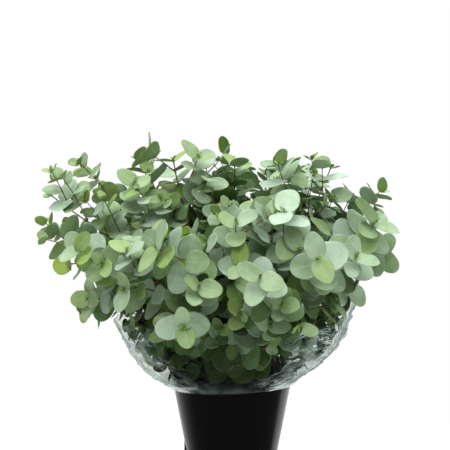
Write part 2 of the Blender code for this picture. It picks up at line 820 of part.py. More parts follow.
def grow_twig(body, twig, mouth, kept):
    """A twig from the four corners of a side of its stem."""
    middle = sum((body.verts[k] for k in mouth), Vector()) / 4
    _, direction, side = twig.frame(TWIG_START)
    edge = body.verts[mouth[0]] + body.verts[mouth[1]] - 2 * middle
    turn = math.atan2(edge.dot(direction.cross(side)), edge.dot(side))
    first = body.add(ring(twig, TWIG_START, turn, 4))
    body.skin(mouth, first, owner=twig)
    grow_axis(body, twig, kept, first, TWIG_START, turn, twig)


# From shapes to objects

def material(name, colour, roughness, metallic=0.0):
    made = bpy.data.materials.new(name)
    made.use_nodes = True
    shader = made.node_tree.nodes["Principled BSDF"]
    shader.inputs["Base Color"].default_value = (*colour, 1.0)
    shader.inputs["Roughness"].default_value = roughness
    shader.inputs["Metallic"].default_value = metallic
    return made


def new_object(name, shape, surface=None):
    """An object of triangles that all face outwards."""
    mesh = bpy.data.meshes.new(name)
    mesh.from_pydata([tuple(v) for v in shape[0]], [], shape[1])
    body = bmesh.new()
    body.from_mesh(mesh)
    bmesh.ops.recalc_face_normals(body, faces=body.faces)
    bmesh.ops.triangulate(body, faces=body.faces)
    body.to_mesh(mesh)
    body.free()
    made = bpy.data.objects.new(name, mesh)
    bpy.context.scene.collection.objects.link(made)
    if surface:
        mesh.materials.append(surface)
    return made


def apply_boolean(target, operation, shapes):
    """Join the shapes to the target or cut them out of it, by MANIFOLD, which keeps the fewest triangles."""
    helpers = bpy.data.collections.new(target.name + "_helpers")
    for k, shape in enumerate(shapes):
        helper = new_object(f"{target.name}_helper_{k}", shape)
        bpy.context.scene.collection.objects.unlink(helper)
        helpers.objects.link(helper)
    modifier = target.modifiers.new(operation.title(), "BOOLEAN")
    modifier.operation = operation
    modifier.operand_type = "COLLECTION"
    modifier.collection = helpers
    modifier.solver = "MANIFOLD"
    depsgraph = bpy.context.evaluated_depsgraph_get()
    result = bpy.data.meshes.new_from_object(target.evaluated_get(depsgraph))
    target.modifiers.clear()
    target.data = result
    body = bmesh.new()
    body.from_mesh(result)
    bmesh.ops.dissolve_limit(body, angle_limit=FLAT_ANGLE, verts=body.verts, edges=body.edges)
    bmesh.ops.triangulate(body, faces=body.faces)
    body.to_mesh(result)
    body.free()
    for helper in list(helpers.objects):
        bpy.data.objects.remove(helper)
    bpy.data.collections.remove(helpers)


def shade_round(made):
    """Smooth shading, with the sharp edges kept."""
    made.data.shade_smooth()
    made.data.set_sharp_from_angle(angle=SMOOTH_ANGLE)


def leafy_stem(stem, wanted, surface, earlier):
    """One stem with its twigs and leaves as a single body, less what of them would cross anything."""
    main = stem.main
    mouth = (main.points[1] - main.points[0]).length
    turn = main.nodes[0].turn
    axes = keep_twigs(stem, wanted)
    kept = {*axes, *keep_nodes(axes, wanted)}
    crossing = {None}
    while crossing:
        body = Body()
        foot_ring = body.add(ring(main, 0.0, turn, 4))
        mouth_ring = body.add(ring(main, mouth, turn, 4))
        body.face(foot_ring)
        body.skin(foot_ring, mouth_ring)
        grow_axis(body, main, kept, mouth_ring, mouth, turn)
        shape, crossing = body.crossing_owners(earlier)
        if None in crossing:
            raise ValueError(f"{stem.name} meets itself or another stem")
        kept -= crossing
    earlier.append(shape)
    return new_object(stem.name, (body.verts, body.faces), surface)


def fin(azimuth):
    """A nesting fin on the bucket's outside, which stops the next bucket when they are stacked."""
    heights = (FIN_TOP, FIN_BOTTOM)
    roots = [(bucket_radius(z) - BUCKET_WALL / 2, z) for z in heights]
    profile = [roots[0], (FIN_RADIUS, FIN_TOP), (FIN_RADIUS, FIN_BOTTOM), roots[1]]
    angle = math.radians(azimuth)
    sideways = polar(FIN_THICKNESS / 2, angle + math.pi / 2, 0.0)
    verts = [polar(r, angle, z) + sideways for r, z in profile]
    verts += [polar(r, angle, z) - sideways for r, z in profile]
    faces = [(0, 1, 2, 3), (7, 6, 5, 4)]
    faces += [(k, k + 4, (k + 1) % 4 + 4, (k + 1) % 4) for k in range(4)]
    return verts, faces


def make_bucket():
    surface = material("black_plastic", (0.012, 0.012, 0.013), 0.32)
    made = new_object("bucket", turned(bucket_profile(), BUCKET_SIDES), surface)
    apply_boolean(made, "UNION", [fin(azimuth) for azimuth in FIN_AZIMUTHS])
    shade_round(made)


def make_water(stems):
    """The water in the bucket, with a plain hole for each stem that stands in it."""
    bottom = BUCKET_FLOOR + FIT_GAP
    profile = [
        (bucket_radius(bottom) - BUCKET_WALL - FIT_GAP, bottom),
        (bucket_radius(WATER_DEPTH) - BUCKET_WALL - FIT_GAP, WATER_DEPTH),
    ]
    made = new_object("water", turned(profile, BUCKET_SIDES), material("water", (0.55, 0.62, 0.60), 0.05))
    holes = []
    for stem in stems:
        turn = stem.main.nodes[0].turn
        ends = (-HOLE_OVERRUN, WATER_DEPTH + HOLE_OVERRUN)
        holes.append(tube([ring(stem.main, s, turn, 4, FIT_GAP * math.sqrt(2)) for s in ends]))
    apply_boolean(made, "DIFFERENCE", holes)
    shade_round(made)


def make_sleeve():
    surface = material("clear_film", (0.80, 0.85, 0.82), 0.12)
    shape = sleeve_shell(0.0, SLEEVE_THICKNESS, SLEEVE_RINGS, SLEEVE_SIDES)
    made = new_object("film_sleeve", shape, surface)
    shade_round(made)


def main():
    for old in list(bpy.data.objects):
        bpy.data.objects.remove(old)
    stems = grow()
    make_bucket()
    make_water(stems)
    make_sleeve()
    green = material("leafy_green", (0.215, 0.295, 0.165), 0.55)
    wanted = outermost(stems)
    earlier = []
    for stem in stems:
        leafy_stem(stem, wanted, green, earlier)


if __name__ == "__main__":
    main()
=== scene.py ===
"""The looks of a florist's bucket of silver dollar eucalyptus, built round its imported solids.

+Z is up, the front is -Y, and lengths are in metres. The stems grow by the same rule and the same random
draws as the solids, so each fine stem and leaf stands where its solid does.
"""

import random
from dataclasses import dataclass, field
from math import atan, atan2, cos, degrees, exp, hypot, pi, radians, sin, sqrt

import bpy
from mathutils import Matrix, Vector, noise
from mathutils.bvhtree import BVHTree


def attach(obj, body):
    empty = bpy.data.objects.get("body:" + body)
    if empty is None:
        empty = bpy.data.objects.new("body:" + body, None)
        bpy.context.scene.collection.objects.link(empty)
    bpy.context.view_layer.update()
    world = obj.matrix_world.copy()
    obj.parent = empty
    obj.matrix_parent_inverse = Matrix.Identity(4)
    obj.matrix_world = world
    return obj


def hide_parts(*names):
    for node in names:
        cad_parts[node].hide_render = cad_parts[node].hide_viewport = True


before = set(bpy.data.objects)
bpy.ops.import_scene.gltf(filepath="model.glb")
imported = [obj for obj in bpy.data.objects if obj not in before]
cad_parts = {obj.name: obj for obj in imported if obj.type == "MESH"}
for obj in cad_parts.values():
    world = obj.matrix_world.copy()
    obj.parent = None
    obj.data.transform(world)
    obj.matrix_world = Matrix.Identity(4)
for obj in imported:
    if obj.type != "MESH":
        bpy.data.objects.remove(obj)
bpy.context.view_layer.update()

MM = 0.001

# The bucket, a tapered plastic pail
BUCKET_HEIGHT = 0.280
BUCKET_BASE_RADIUS = 0.0555
BUCKET_FLARE = 0.191
BUCKET_WALL = 2.2 * MM
BUCKET_FLOOR = 3.0 * MM
BASE_CHAMFER = 2.0 * MM
RIM_HEIGHT = 9.0 * MM
RIM_OUT = 4.0 * MM
RIM_LIP = 3.0 * MM
RIM_BULGE = 0.6 * MM
RIM_SHOULDER = 1.5 * MM
RIM_INSIDE = 1.0 * MM
BUCKET_SIDES = 32
FIN_AZIMUTHS = (180.0, 300.0, 60.0)
FIN_TOP = 0.156
FIN_BOTTOM = 0.104
FIN_RADIUS = 0.0855
FIN_THICKNESS = 3.0 * MM

# The room between pieces that fit
FIT_GAP = 0.35 * MM

# The clear film sleeve, drawn in round the bucket below its rim and open at the top
SLEEVE_HEM = 0.2525
SLEEVE_HEM_TILT = 0.0059
SLEEVE_HEM_HIGH_SIDE = radians(315)
SLEEVE_THICKNESS = 0.8 * MM
SLEEVE_SWELL = 0.130
SLEEVE_RISE = 0.0735
SLEEVE_POWER = 1.08
SLEEVE_POWER_LEAN = 0.07
SLEEVE_LOW_EDGE = 0.374
SLEEVE_BACK_RISE = 0.205
SLEEVE_BACK_AZIMUTH = 60.0
SLEEVE_BACK_WIDTH = 52.0
SLEEVE_RING_CROWDING = 1.3
SLEEVE_PROBE_SIDES = 48
SLEEVE_PROBE_RINGS = 8
SLEEVE_CLEARANCE = 5.0 * MM

# The cut stems
SEED = 24
STEM_FOOT_CIRCLE = 0.046
STEM_MOUTH_CIRCLE = 0.084
ARCH_START_HEIGHT = 0.270
STEM_FOOT_RADIUS = 2.7 * MM
STEM_TIP_RADIUS = 1.1 * MM
STEM_TRIES = 60
STEM_PROBE_START = 6.0 * MM
TIP_TURN_PLAY = 3.0
TIP_REACH_PLAY = (0.97, 1.02)
TIP_HEIGHT_PLAY = 0.008
ARCH_RISE = (0.40, 0.52)
ARCH_DRAW = (0.30, 0.42)
ARCH_PIECES = 14
TUBE_CLEARANCE = 1.5 * MM
TUBE_PROBE_STEP = 0.02
TUBE_PROBE_PIECES = 2
PROBE_SIDES = 6
SQUARE_CORNER = 1.25
NEARLY_UPRIGHT = 0.9
LEAST_GAIN = 1e-9
GOLDEN_ANGLE = radians(137.508)

# The nodes along them, where leaves and twigs stand
FIRST_NODE_HEIGHT = 0.288
MAIN_NODE_STEP = 0.031
TWIG_NODE_STEP = 0.025
TIP_STEP_SHARE = 0.62
NODE_STEP_PLAY = (0.85, 1.15)
LAST_STEP_SHARE = 0.4
NODE_TURN_PLAY = 0.12
NODE_HALF_HEIGHT = 1.0 * MM

# The side twigs. A pair holds the values at the stem's foot and tip, or the limits of a random draw.
TWIG_ROOT_RADIUS = 1.35 * MM
TWIG_TIP_RADIUS = 0.75 * MM
TWIG_TRIES = 8
TWIG_LENGTHS = (0.14, 0.065)
TWIG_LENGTH_PLAY = (0.75, 1.15)
TWIG_SHRINK_PER_TRY = 0.08
TWIG_SPREADS = (78, 42)
TWIG_SPREAD_PLAY = 10
TWIG_TURN_PLAY = 0.35
TWIG_BEND_OUT = (0.04, 0.24)
TWIG_BEND_UP = (-0.10, 0.22)
TWIG_PIECES = 6
TWIG_PROBE_START = 7.0 * MM
TWIG_TUBE_START = 4.0 * MM
TWIG_FIRST_NODE = 0.020

# Where each stem's tip stands in the crown: azimuth in degrees, distance from the middle, height, the slope
# of the tip above level in degrees, and the length of its last leaves. The left is 180 and the front 270.
STEM_TIPS = (
    (177, 0.332, 0.602, 38, 0.021),
    (163, 0.262, 0.620, 58, 0.022),
    (192, 0.328, 0.528, 16, 0.023),
    (204, 0.308, 0.478, -4, 0.036),
    (184, 0.262, 0.396, -24, 0.038),
    (150, 0.190, 0.650, 70, 0.034),
    (213, 0.125, 0.655, 80, 0.038),
    (122, 0.090, 0.655, 84, 0.034),
    (278, 0.045, 0.640, 86, 0.038),
    (62, 0.150, 0.630, 72, 0.030),
    (318, 0.155, 0.612, 70, 0.036),
    (18, 0.196, 0.636, 68, 0.020),
    (352, 0.252, 0.556, 22, 0.028),
    (340, 0.252, 0.512, 4, 0.048),
    (8, 0.242, 0.488, -8, 0.045),
    (327, 0.240, 0.445, -16, 0.040),
    (230, 0.270, 0.450, -4, 0.043),
    (251, 0.262, 0.495, 10, 0.050),
    (246, 0.240, 0.376, -48, 0.038),
    (272, 0.220, 0.552, 34, 0.040),
    (294, 0.228, 0.525, 20, 0.048),
    (306, 0.262, 0.475, 0, 0.048),
    (283, 0.252, 0.425, -18, 0.042),
    (300, 0.236, 0.384, -44, 0.034),
    (256, 0.130, 0.606, 64, 0.038),
    (202, 0.195, 0.595, 52, 0.036),
    (95, 0.210, 0.608, 50, 0.036),
    (122, 0.265, 0.555, 28, 0.038),
    (45, 0.230, 0.618, 50, 0.034),
    (143, 0.285, 0.485, 2, 0.042),
    (336, 0.190, 0.585, 46, 0.040),
)

# The leaves. A pair holds the values at the foot and tip of an axis, or the limits of a random draw.
LEAF_LENGTH = 0.060
TWIG_LEAF_SHARE = 0.84
LEAF_FOOT_SPREAD = 82
LEAF_TIP_SPREADS = (30, 82)
LEAF_SPREAD_PLAY = 9
LEAF_TURN_PLAY = 0.16
LEAF_ROLL_PLAY = 12
LEAF_SIZE_PLAY = (0.9, 1.1)
LEAF_WIDTHS = (0.88, 1.08)
LEAF_CUPS = (0.02, 0.13)
LEAF_TAPER = 1.6
CUP_ALONG = 0.5
CUP_ACROSS = 0.8
YOUNG_FROM = 0.55
YOUNG_WIDTH = 0.80
LEAF_TRIES = 9
LEAF_LOOSER_PER_TRY = 0.3
LEAF_SHRINK_PER_TRY = 0.045
LEAF_REACH = 0.6

# Their blades, whose outline is given by shares of the length
BLADE_MIDDLE = 0.45
BLADE_BREADTH_SHIFT = 0.8
LEAF_CENTRE_THICKNESS = 1.2 * MM
LEAF_CLEARANCE = 0.6 * MM
PROBE_LARGER = 1.04
PROBE_TIP = 1.03
FREE_PROBE_START = 0.11
WHOLE_PROBE_START = 0.03
LARGE_LEAF = 0.034
LARGE_OUTLINE = (0.07, 0.30, 0.62, 0.89)
SMALL_OUTLINE = (0.12, 0.45, 0.84)

# The place from which the leaves' order of growth is measured
CROWN_CENTRE = Vector((0, 0, 0.30))

# Where leaves get painted shade: deep in the crown and low down
CROWN_MIDDLE = Vector((-0.01, -0.01, 0.42))
CROWN_SIZE = (0.33, 0.30, 0.24)
DEEP_BEGINS = 0.95
LOW_BEGINS = 0.38
LOW_HEIGHT = 0.09

# More twigs for the scene: lowest and highest start, how far from the middle, and leaf length
EXTRA_TWIGS = (
    (0.26, 0.37, 0.30, 0.050),
    (0.26, 0.36, 0.30, 0.040),
    (0.27, 0.34, 0.30, 0.034),
    (0.44, 0.575, 0.13, 0.032),
)
EXTRA_TIP_SHARE = 0.7

# The fine leaves. A pair holds the limits of a random draw.
LOOKS_SEED = 5
TINY_LEAF = 0.012
BLADE_GRIDS = ((LARGE_LEAF, (14, 6)), (TINY_LEAF, (9, 4)), (0.0, (6, 2)))
BLADE_THICKNESS = 0.45 * MM
RIB_DROP = 0.5 * MM
RIB_NARROWNESS = 3
EDGE_WAVE = 0.022
EDGE_WAVES = (5, 10)
EDGE_WAVE_SKEW = 1.3
EDGE_UNEVENNESS = 0.025
UNEVEN_WAVES = (4, 9)
TIP_BEND = (-0.10, 0.04)
BUD_PAIRS = ((0.0100, 46, 0.0015), (0.0055, 20, 0.0030))
BUD_SPREAD_PLAY = 8
BUD_SIZE_PLAY = (0.75, 1.25)
BUD_WIDTH = 0.62
BUD_CUP = 0.16

# Their tints, from 0 to 1: how glaucous, how bright and how young. The brightness is a random tone with
# painted light towards the left and painted shade deep in the crown and low down. A play is the spread of a
# random draw.
STEM_TONE_PLAY = 0.14
RIGHT_REACH = 0.35
LEFT_BEGINS = -0.05
LEFT_WIDTH = 0.15
GLAUCOUS = 0.28
GLAUCOUS_BY_SIZE = 0.42
GLAUCOUS_RIGHT = 0.10
GLAUCOUS_BY_LIGHT = 0.55
GLAUCOUS_PLAY = 0.20
BRIGHT = 0.56
PAINTED_LIGHT_LEFT = 0.12
PAINTED_SHADE_LOSS = 0.66
BRIGHT_PLAY = 0.15
BRIGHT_MIDDLE = 0.50
YOUNG = 0.75
YOUNG_SIZE = 1.15
YOUNG_LESS = 0.14
YOUNG_PLAY = 0.14
VIVID_SHARE = 0.06
VIVID_LEFT = 0.10
VIVID_YOUNGER = (0.3, 0.7)
VIVID_GREENER = 0.4

# The fine stems
TUBE_SIDES = 8
TUBE_STEP = 0.009
TUBE_LEAST_PIECES = 4
NODE_SWELL = 0.28
NODE_SWELL_WIDTH = 0.0035
WOODY_RADIUS = 2.2 * MM

# The fine film: crease sizes with their shares, how the pleats on the right run, and its clear, taut side
FILM_SEED = 5
FILM_SIDES = 560
FILM_RINGS = 84
FILM_CREASES = ((0.052, 0.42), (0.024, 0.34), (0.011, 0.24))
CREASE_STEEPNESS = 2.2
CREASE_SIGN_STEP = 7.3
FILM_SHIFT = 0.006
FILM_SHIFT_SIZE = 0.03
FILM_BILLOW = 0.9
FILM_BILLOW_SIZE = 0.06
FILM_CRUMPLE = 7.0 * MM
FILM_LIMITS = (-4.0 * MM, 7.0 * MM)
FILM_ROOM = 10.0 * MM
FILM_EDGE_RAGGED = 7.0 * MM
FILM_EDGE_PATH = 9.0
PLEAT_AZIMUTH = -28.0
PLEAT_WIDTH = 50.0
PLEAT_SLOPE = 0.42
PLEAT_THINNESS = 4.2
HEM_FREE_HEIGHT = 0.012
HEM_LOOSENESS = 0.35
FILM_CLEAR_SIDE = 0.735
FILM_CLEAR_WIDTH = (0.08, 0.125)
FILM_TAUT_SHARE = 0.16

# The fine bucket
FINE_SIDES = 144
ROUND_STEPS = 5
ROUND_MOST = 0.45
CORNER_ROUND = 1.2 * MM
SHARP_ANGLE = radians(40)
FIN_ROUND = 0.5 * MM
FIN_ROUND_STEPS = 2

# Colours, as red, green and blue from 0 to 255
LEAF_GREEN = (122, 153, 84)
LEAF_GLAUCOUS = (181, 205, 183)
LEAF_YOUNG = (150, 178, 80)
LEAF_LIT_THROUGH = (150, 186, 66)
LEAF_DEEP = (82, 114, 40)
# Painted shade: the near-black green that leaves deep in the crown and low down go towards
LEAF_PAINTED_SHADE = (34, 48, 19)
LEAF_VEIN = (214, 224, 200)
BARK_RED = (112, 72, 56)
BARK_BROWN = (104, 92, 72)
BARK_GREEN = (128, 134, 84)
# The film's white is milky haze and painted highlight; its dark teal is painted shade for the dark foliage
# seen through it
FILM_HAZE_AND_HIGHLIGHT = (222, 238, 233)
FILM_PAINTED_SHADE = (92, 124, 112)
FILM_CLEAR = (240, 246, 243)
PLASTIC_BLACK = (3, 3, 4)
PLASTIC_WORN = (8, 8, 9)
WATER_TINT = (200, 212, 205)
FLOOR_COLOUR = (244, 244, 242)

# The veins, in shares of a leaf's length and width
RIB_CORE = 0.004
RIB_WIDTH = 0.020
RIB_TAPER = -0.012
VEIN_SLANT = 0.8
VEIN_COUNT = 9.0
VEIN_WIDTH = 0.10
VEIN_FADE = (0.48, 0.10)
VEIN_STRENGTH = 0.42

# Noise in the materials: how fine, how detailed and how stretched
LEAF_MOTTLE = (70.0, 4.0)
LEAF_GRAIN = (260.0, 2.0)
BARK_STREAKS = (220.0, 3.0, (1, 1, 0.25))
FILM_CLUSTERS = (42.0, 3.0)
FILM_HAZE = (19.0, 6.0, (1, 1, 1.2))
# The film's tone noise places its patches of painted shade and painted highlight
FILM_PAINTED_PATCHES = (34.0, 6.0, (1, 1, 0.9))
PLASTIC_GRAIN = (420.0, 3.0)
PLASTIC_SCUFFS = (28.0, 4.0, (1, 1, 0.2))
WATER_RIPPLES = (35.0, 2.0)

# Ramps in the materials: where each begins and ends, and its value at either end where that isn't 0 and 1
BLOOM_RAMP = (0.3, 0.7, -0.20, 0.20)
DEEP_RAMP = (0.10, 0.55, 0.85, 0.0)
# The next ramp mixes in the near-black green of painted shade where leaves are darkest
PAINTED_SHADE_RAMP = (0.0, 0.30, 0.80, 0.0)
VEIN_RAMP = (0.05, 0.50, 0.12, 0.42)
EDGE_BAND = (0.40, 0.5)
EDGE_RAMP = (0.05, 0.50, 0.03, 0.18)
LEAF_ROUGHNESS = (0.25, 0.75, 0.46, 0.62)
LIT_THROUGH_RAMP = (0.1, 0.5, 0.0, 0.55)
WOODY_RAMP = (0.35, 1.0)
GREENISH_RAMP = (0.55, 1.0, 0.0, 0.6)
STREAK_RAMP = (0.35, 0.75, 0.0, 0.5)
PLEATED_SIDE = (0.16, 0.08)
CLUSTER_RAMP = (0.45, 0.64)
HAZE_RAMP = (0.38, 0.66, 0.08, 0.52)
PAINTED_PATCH_RAMP = (0.40, 0.64)
EDGE_ON_RAMP = (0.45, 1.0, 0.0, 0.65)
HEM_RAMP = (0.26, 0.10, 0.0, 0.36)
ROLLED_RAMP = (0.985, 1.0, 0.0, 0.35)
FILM_METAL = (0.1, 0.7, 0.85, 0.15)
SCUFF_RAMP = (0.55, 0.8, 0.0, 0.5)
PLASTIC_ROUGHNESS = (0.3, 0.7, 0.15, 0.22)

# Other values of the materials. Lines on the film: the size of their cells, their width and their stretch.
UNDERSIDE_DEEPER = 0.22
VEIN_DEPTH = -0.8
LEAF_THROUGH = 0.22
PLEAT_LINES = (0.013, 0.20, (0.28, 0.28, 2.4))
CRUMPLE_LINES = (0.019, 0.13, (1.0, 1.0, 1.0))
LINE_SHIFT_SCALE = 0.6
LINE_SHIFT = 1.4
CRINKLE_OPACITY = 0.78
LEAST_OPACITY = 0.024

# The camera and the studio
CAMERA_DISTANCE = 2.6
CAMERA_ELEVATION = 3.0
CAMERA_TARGET = Vector((-0.0125, 0.0, 0.542))
CAMERA_LENS = 116.9
CAMERA_SENSOR = 36.0
FLOOR_SIZE = 12.0
FLOOR_FADE = (0.30, 1.20)
FLOOR_DROP = 0.5 * MM
FRONT_DIM = 0.14
BACK_BRIGHT = 1.0
BACK_SIDES = (-0.2, 0.3)
BACK_BEGINS = (0.05, 0.40)
BACK_FULL = (1.20, 0.56)
TOP_BRIGHT = 1.2
TOP_HEIGHTS = (0.25, 0.8)
LIGHT_SIZE = 2.6
LIGHT_TARGET = Vector((0, 0, 0.45))
LIGHTS = (
    ("key", (-1.0, -1.4, 2.9), 74.0),
    ("fill", (1.6, -1.2, 2.6), 28.0),
    ("top", (0.2, 0.5, 2.8), 36.0),
)


def polar(radius, azimuth, height):
    return Vector((radius * cos(azimuth), radius * sin(azimuth), height))


def lerp(a, b, t):
    return a + (b - a) * t


def clamp(value, low=0.0, high=1.0):
    return min(max(value, low), high)


def curve(a, b, c, pieces):
    """Points of a curve that leaves a towards b and comes to c from there."""
    return [a.lerp(b, t).lerp(b.lerp(c, t), t) for t in shares(pieces)]


def shares(pieces):
    """Even steps from 0 to 1."""
    return [k / pieces for k in range(pieces + 1)]


def either_way(rng, most):
    return rng.uniform(-most, most)


# Shapes of the bucket and the sleeve as formulas

def bucket_radius(height):
    """Radius of the bucket's outer wall at a height."""
    return BUCKET_BASE_RADIUS + BUCKET_FLARE * height


def sleeve_hem(azimuth):
    """Height of the film's hem, which is drawn in under the rim and a little higher at the front right."""
    return SLEEVE_HEM + SLEEVE_HEM_TILT * cos(azimuth - SLEEVE_HEM_HIGH_SIDE)


def sleeve_radius(height, azimuth):
    """Radius of the film, snug at the hem and swelling out over the rim, sooner on the left."""
    hem = sleeve_hem(azimuth)
    power = SLEEVE_POWER + SLEEVE_POWER_LEAN * cos(azimuth)
    risen = ((height - hem) / SLEEVE_RISE) ** power
    return bucket_radius(hem) + FIT_GAP + SLEEVE_SWELL * (1 - exp(-risen))


def sleeve_edge(azimuth):
    """Height of the film's upper edge, low at the front and left and standing up at the back right."""
    away = (degrees(azimuth) - SLEEVE_BACK_AZIMUTH + 180) % 360 - 180
    return SLEEVE_LOW_EDGE + SLEEVE_BACK_RISE * exp(-((away / SLEEVE_BACK_WIDTH) ** 2))


def sleeve_shell():
    """Vertices and faces of a closed shell round the film and the room kept free on both its sides."""
    rings, sides = SLEEVE_PROBE_RINGS, SLEEVE_PROBE_SIDES
    verts, faces = [], []
    for offset in (SLEEVE_CLEARANCE, -SLEEVE_CLEARANCE):
        for t in shares(rings):
            for side in range(sides):
                azimuth = 2 * pi * side / sides
                height = lerp(sleeve_hem(azimuth), sleeve_edge(azimuth), t**SLEEVE_RING_CROWDING)
                verts.append(polar(sleeve_radius(height, azimuth) + offset, azimuth, height))
    last = 2 * rings + 1
    strips = [(0, rings + 1), (rings, last)]
    strips += [(row, row + 1) for row in range(last) if row != rings]
    for low, high in strips:
        for side in range(sides):
            after = (side + 1) % sides
            a, b, c, d = [row * sides + k for row in (low, high) for k in (side, after)]
            faces += [(a, b, d), (a, d, c)]
    return verts, faces


def bucket_profile():
    """The bucket's outline from the middle of its base, up the outside, over the rim and down the inside."""
    shoulder = BUCKET_HEIGHT - RIM_HEIGHT
    wall = bucket_radius(shoulder)
    return [
        (BUCKET_BASE_RADIUS - BASE_CHAMFER, 0.0),
        (BUCKET_BASE_RADIUS, BASE_CHAMFER),
        (wall, shoulder),
        (wall + RIM_OUT, shoulder),
        (wall + RIM_OUT + RIM_BULGE, BUCKET_HEIGHT - RIM_SHOULDER),
        (wall + RIM_LIP, BUCKET_HEIGHT),
        (wall - BUCKET_WALL + RIM_INSIDE, BUCKET_HEIGHT),
        (wall - BUCKET_WALL, shoulder),
        (bucket_radius(BUCKET_FLOOR) - BUCKET_WALL, BUCKET_FLOOR),
    ]


def tube_faces(starts, sides):
    """Faces of a closed tube, given the number of the first vertex of each of its rings."""
    faces = []
    for lower, upper in zip(starts, starts[1:]):
        for k in range(sides):
            after = (k + 1) % sides
            faces.append((lower + k, lower + after, upper + after, upper + k))
    faces.append(tuple(starts[0] + k for k in reversed(range(sides))))
    faces.append(tuple(starts[-1] + k for k in range(sides)))
    return faces


def tube(rings):
    """Vertices and faces of a closed tube through rings of points."""
    sides = len(rings[0])
    starts = [row * sides for row in range(len(rings))]
    return [point for points in rings for point in points], tube_faces(starts, sides)


def turned(profile, sides):
    """A closed solid of revolution from a profile whose ends are closed by flat discs."""
    angles = [2 * pi * k / sides for k in range(sides)]
    return tube([[polar(radius, angle, height) for angle in angles] for radius, height in profile])


# How the stems grow. Every tube and blade is tested, so that no two stems meet.

class Axis:
    """The centre line of a stem or twig, with its radius at each end and the nodes where leaves stand."""

    def __init__(self, points, root_radius, tip_radius):
        self.points = points
        self.root_radius = root_radius
        self.tip_radius = tip_radius
        self.nodes = []
        self.reached = [0.0]
        self.directions = []
        self.sides = []
        side = None
        for a, b in zip(points, points[1:]):
            self.reached.append(self.reached[-1] + (b - a).length)
            direction = (b - a).normalized()
            side = perpendicular(direction) if side is None else square_to(side, direction)
            self.directions.append(direction)
            self.sides.append(side)
        self.length = self.reached[-1]

    def frame(self, s):
        """Point, direction and side vector at a distance along the axis, which runs on past its ends."""
        k = 0
        while k < len(self.directions) - 1 and self.reached[k + 1] < s:
            k += 1
        point = self.points[k] + self.directions[k] * (s - self.reached[k])
        return point, self.directions[k], self.sides[k]

    def radial(self, s, turn):
        """The direction square to the axis at a distance along it and a turn about it."""
        _, direction, side = self.frame(s)
        return side * cos(turn) + direction.cross(side) * sin(turn)

    def radius(self, s):
        return lerp(self.root_radius, self.tip_radius, clamp(s / self.length))


@dataclass
class Node:
    """A place on an axis that carries a pair of leaves, or a leaf and a twig."""
    s: float
    turn: float
    leaves: dict = field(default_factory=dict)
    twig: Axis = None


@dataclass
class Leaf:
    """A blade: where it starts, which way it runs and faces, its size, its cup and how young it is."""
    root: Vector
    along: Vector
    normal: Vector
    length: float
    width: float
    cup: float
    youth: float

    def point(self, u, v, lift=0.0):
        """A point of the blade: u along it from 0 to 1, v across it in widths, lift above it in metres."""
        across = self.normal.cross(self.along)
        bow = ((u - BLADE_MIDDLE) / (1 - BLADE_MIDDLE)) ** 2 * CUP_ALONG
        rise = self.cup * self.length * (bow + (2 * v) ** 2 * CUP_ACROSS)
        flat = self.root + self.along * (u * self.length) + across * (v * self.width)
        return flat + self.normal * (rise + lift)


@dataclass
class Stem:
    """A main axis with its twigs, the length of the leaves at its tip and its own random draws."""
    name: str
    main: Axis
    tip_leaf: float
    rng: random.Random
    twigs: list = field(default_factory=list)

    def axes(self):
        return [self.main, *self.twigs]


def square_to(vector, direction):
    return (vector - direction * vector.dot(direction)).normalized()


def perpendicular(direction):
    helper = Vector((0, 0, 1)) if abs(direction.z) < NEARLY_UPRIGHT else Vector((1, 0, 0))
    return direction.cross(helper).normalized()


def bezier(a, b, c, d, t):
    s = 1 - t
    return a * s**3 + b * (3 * s * s * t) + c * (3 * s * t * t) + d * t**3


def matched_slots():
    """For each tip a place in the bucket's mouth, so that the stems fan out with little crossing.

    The places are spread evenly, as directions with lengths from 0 to 1. Places are swapped between stems for
    as long as that brings them nearer to where the tips are.
    """
    count = len(STEM_TIPS)
    ranked = sorted(range(count), key=lambda k: STEM_TIPS[k][1])
    ranks = {index: sqrt((order + 0.5) / count) for order, index in enumerate(ranked)}
    wanted = [polar(ranks[k], radians(STEM_TIPS[k][0]), 0.0) for k in range(count)]
    slots = [polar(ranks[k], ranked.index(k) * GOLDEN_ANGLE, 0.0) for k in range(count)]

    def off(slot, tip):
        return (slots[slot] - wanted[tip]).length_squared

    swapped = True
    while swapped:
        swapped = False
        for a in range(count):
            for b in range(a):
                if off(b, a) + off(a, b) < off(a, a) + off(b, b) - LEAST_GAIN:
                    slots[a], slots[b] = slots[b], slots[a]
                    swapped = True
    return slots


def main_axis(tip_row, slot, rng):
    """A stem that stands straight in the bucket and arches out of it to its place in the crown."""
    azimuth, reach, height, slope, _ = tip_row
    foot = slot * STEM_FOOT_CIRCLE + Vector((0, 0, BUCKET_FLOOR + FIT_GAP))
    mouth = slot * STEM_MOUTH_CIRCLE + Vector((0, 0, ARCH_START_HEIGHT))
    upward = (mouth - foot).normalized()
    foot.z += SQUARE_CORNER * STEM_FOOT_RADIUS * hypot(upward.x, upward.y)
    turn = radians(azimuth + either_way(rng, TIP_TURN_PLAY))
    tip_reach = reach * rng.uniform(*TIP_REACH_PLAY)
    tip = polar(tip_reach, turn, height + either_way(rng, TIP_HEIGHT_PLAY))
    lean = radians(slope)
    heading = polar(cos(lean), turn, sin(lean))
    span = (tip - mouth).length
    rise = span * rng.uniform(*ARCH_RISE)
    draw = span * rng.uniform(*ARCH_DRAW)
    arch = [
        bezier(mouth, mouth + upward * rise, tip - heading * draw, tip, t)
        for t in shares(ARCH_PIECES)
    ]
    return Axis([foot, *arch], STEM_FOOT_RADIUS, STEM_TIP_RADIUS)


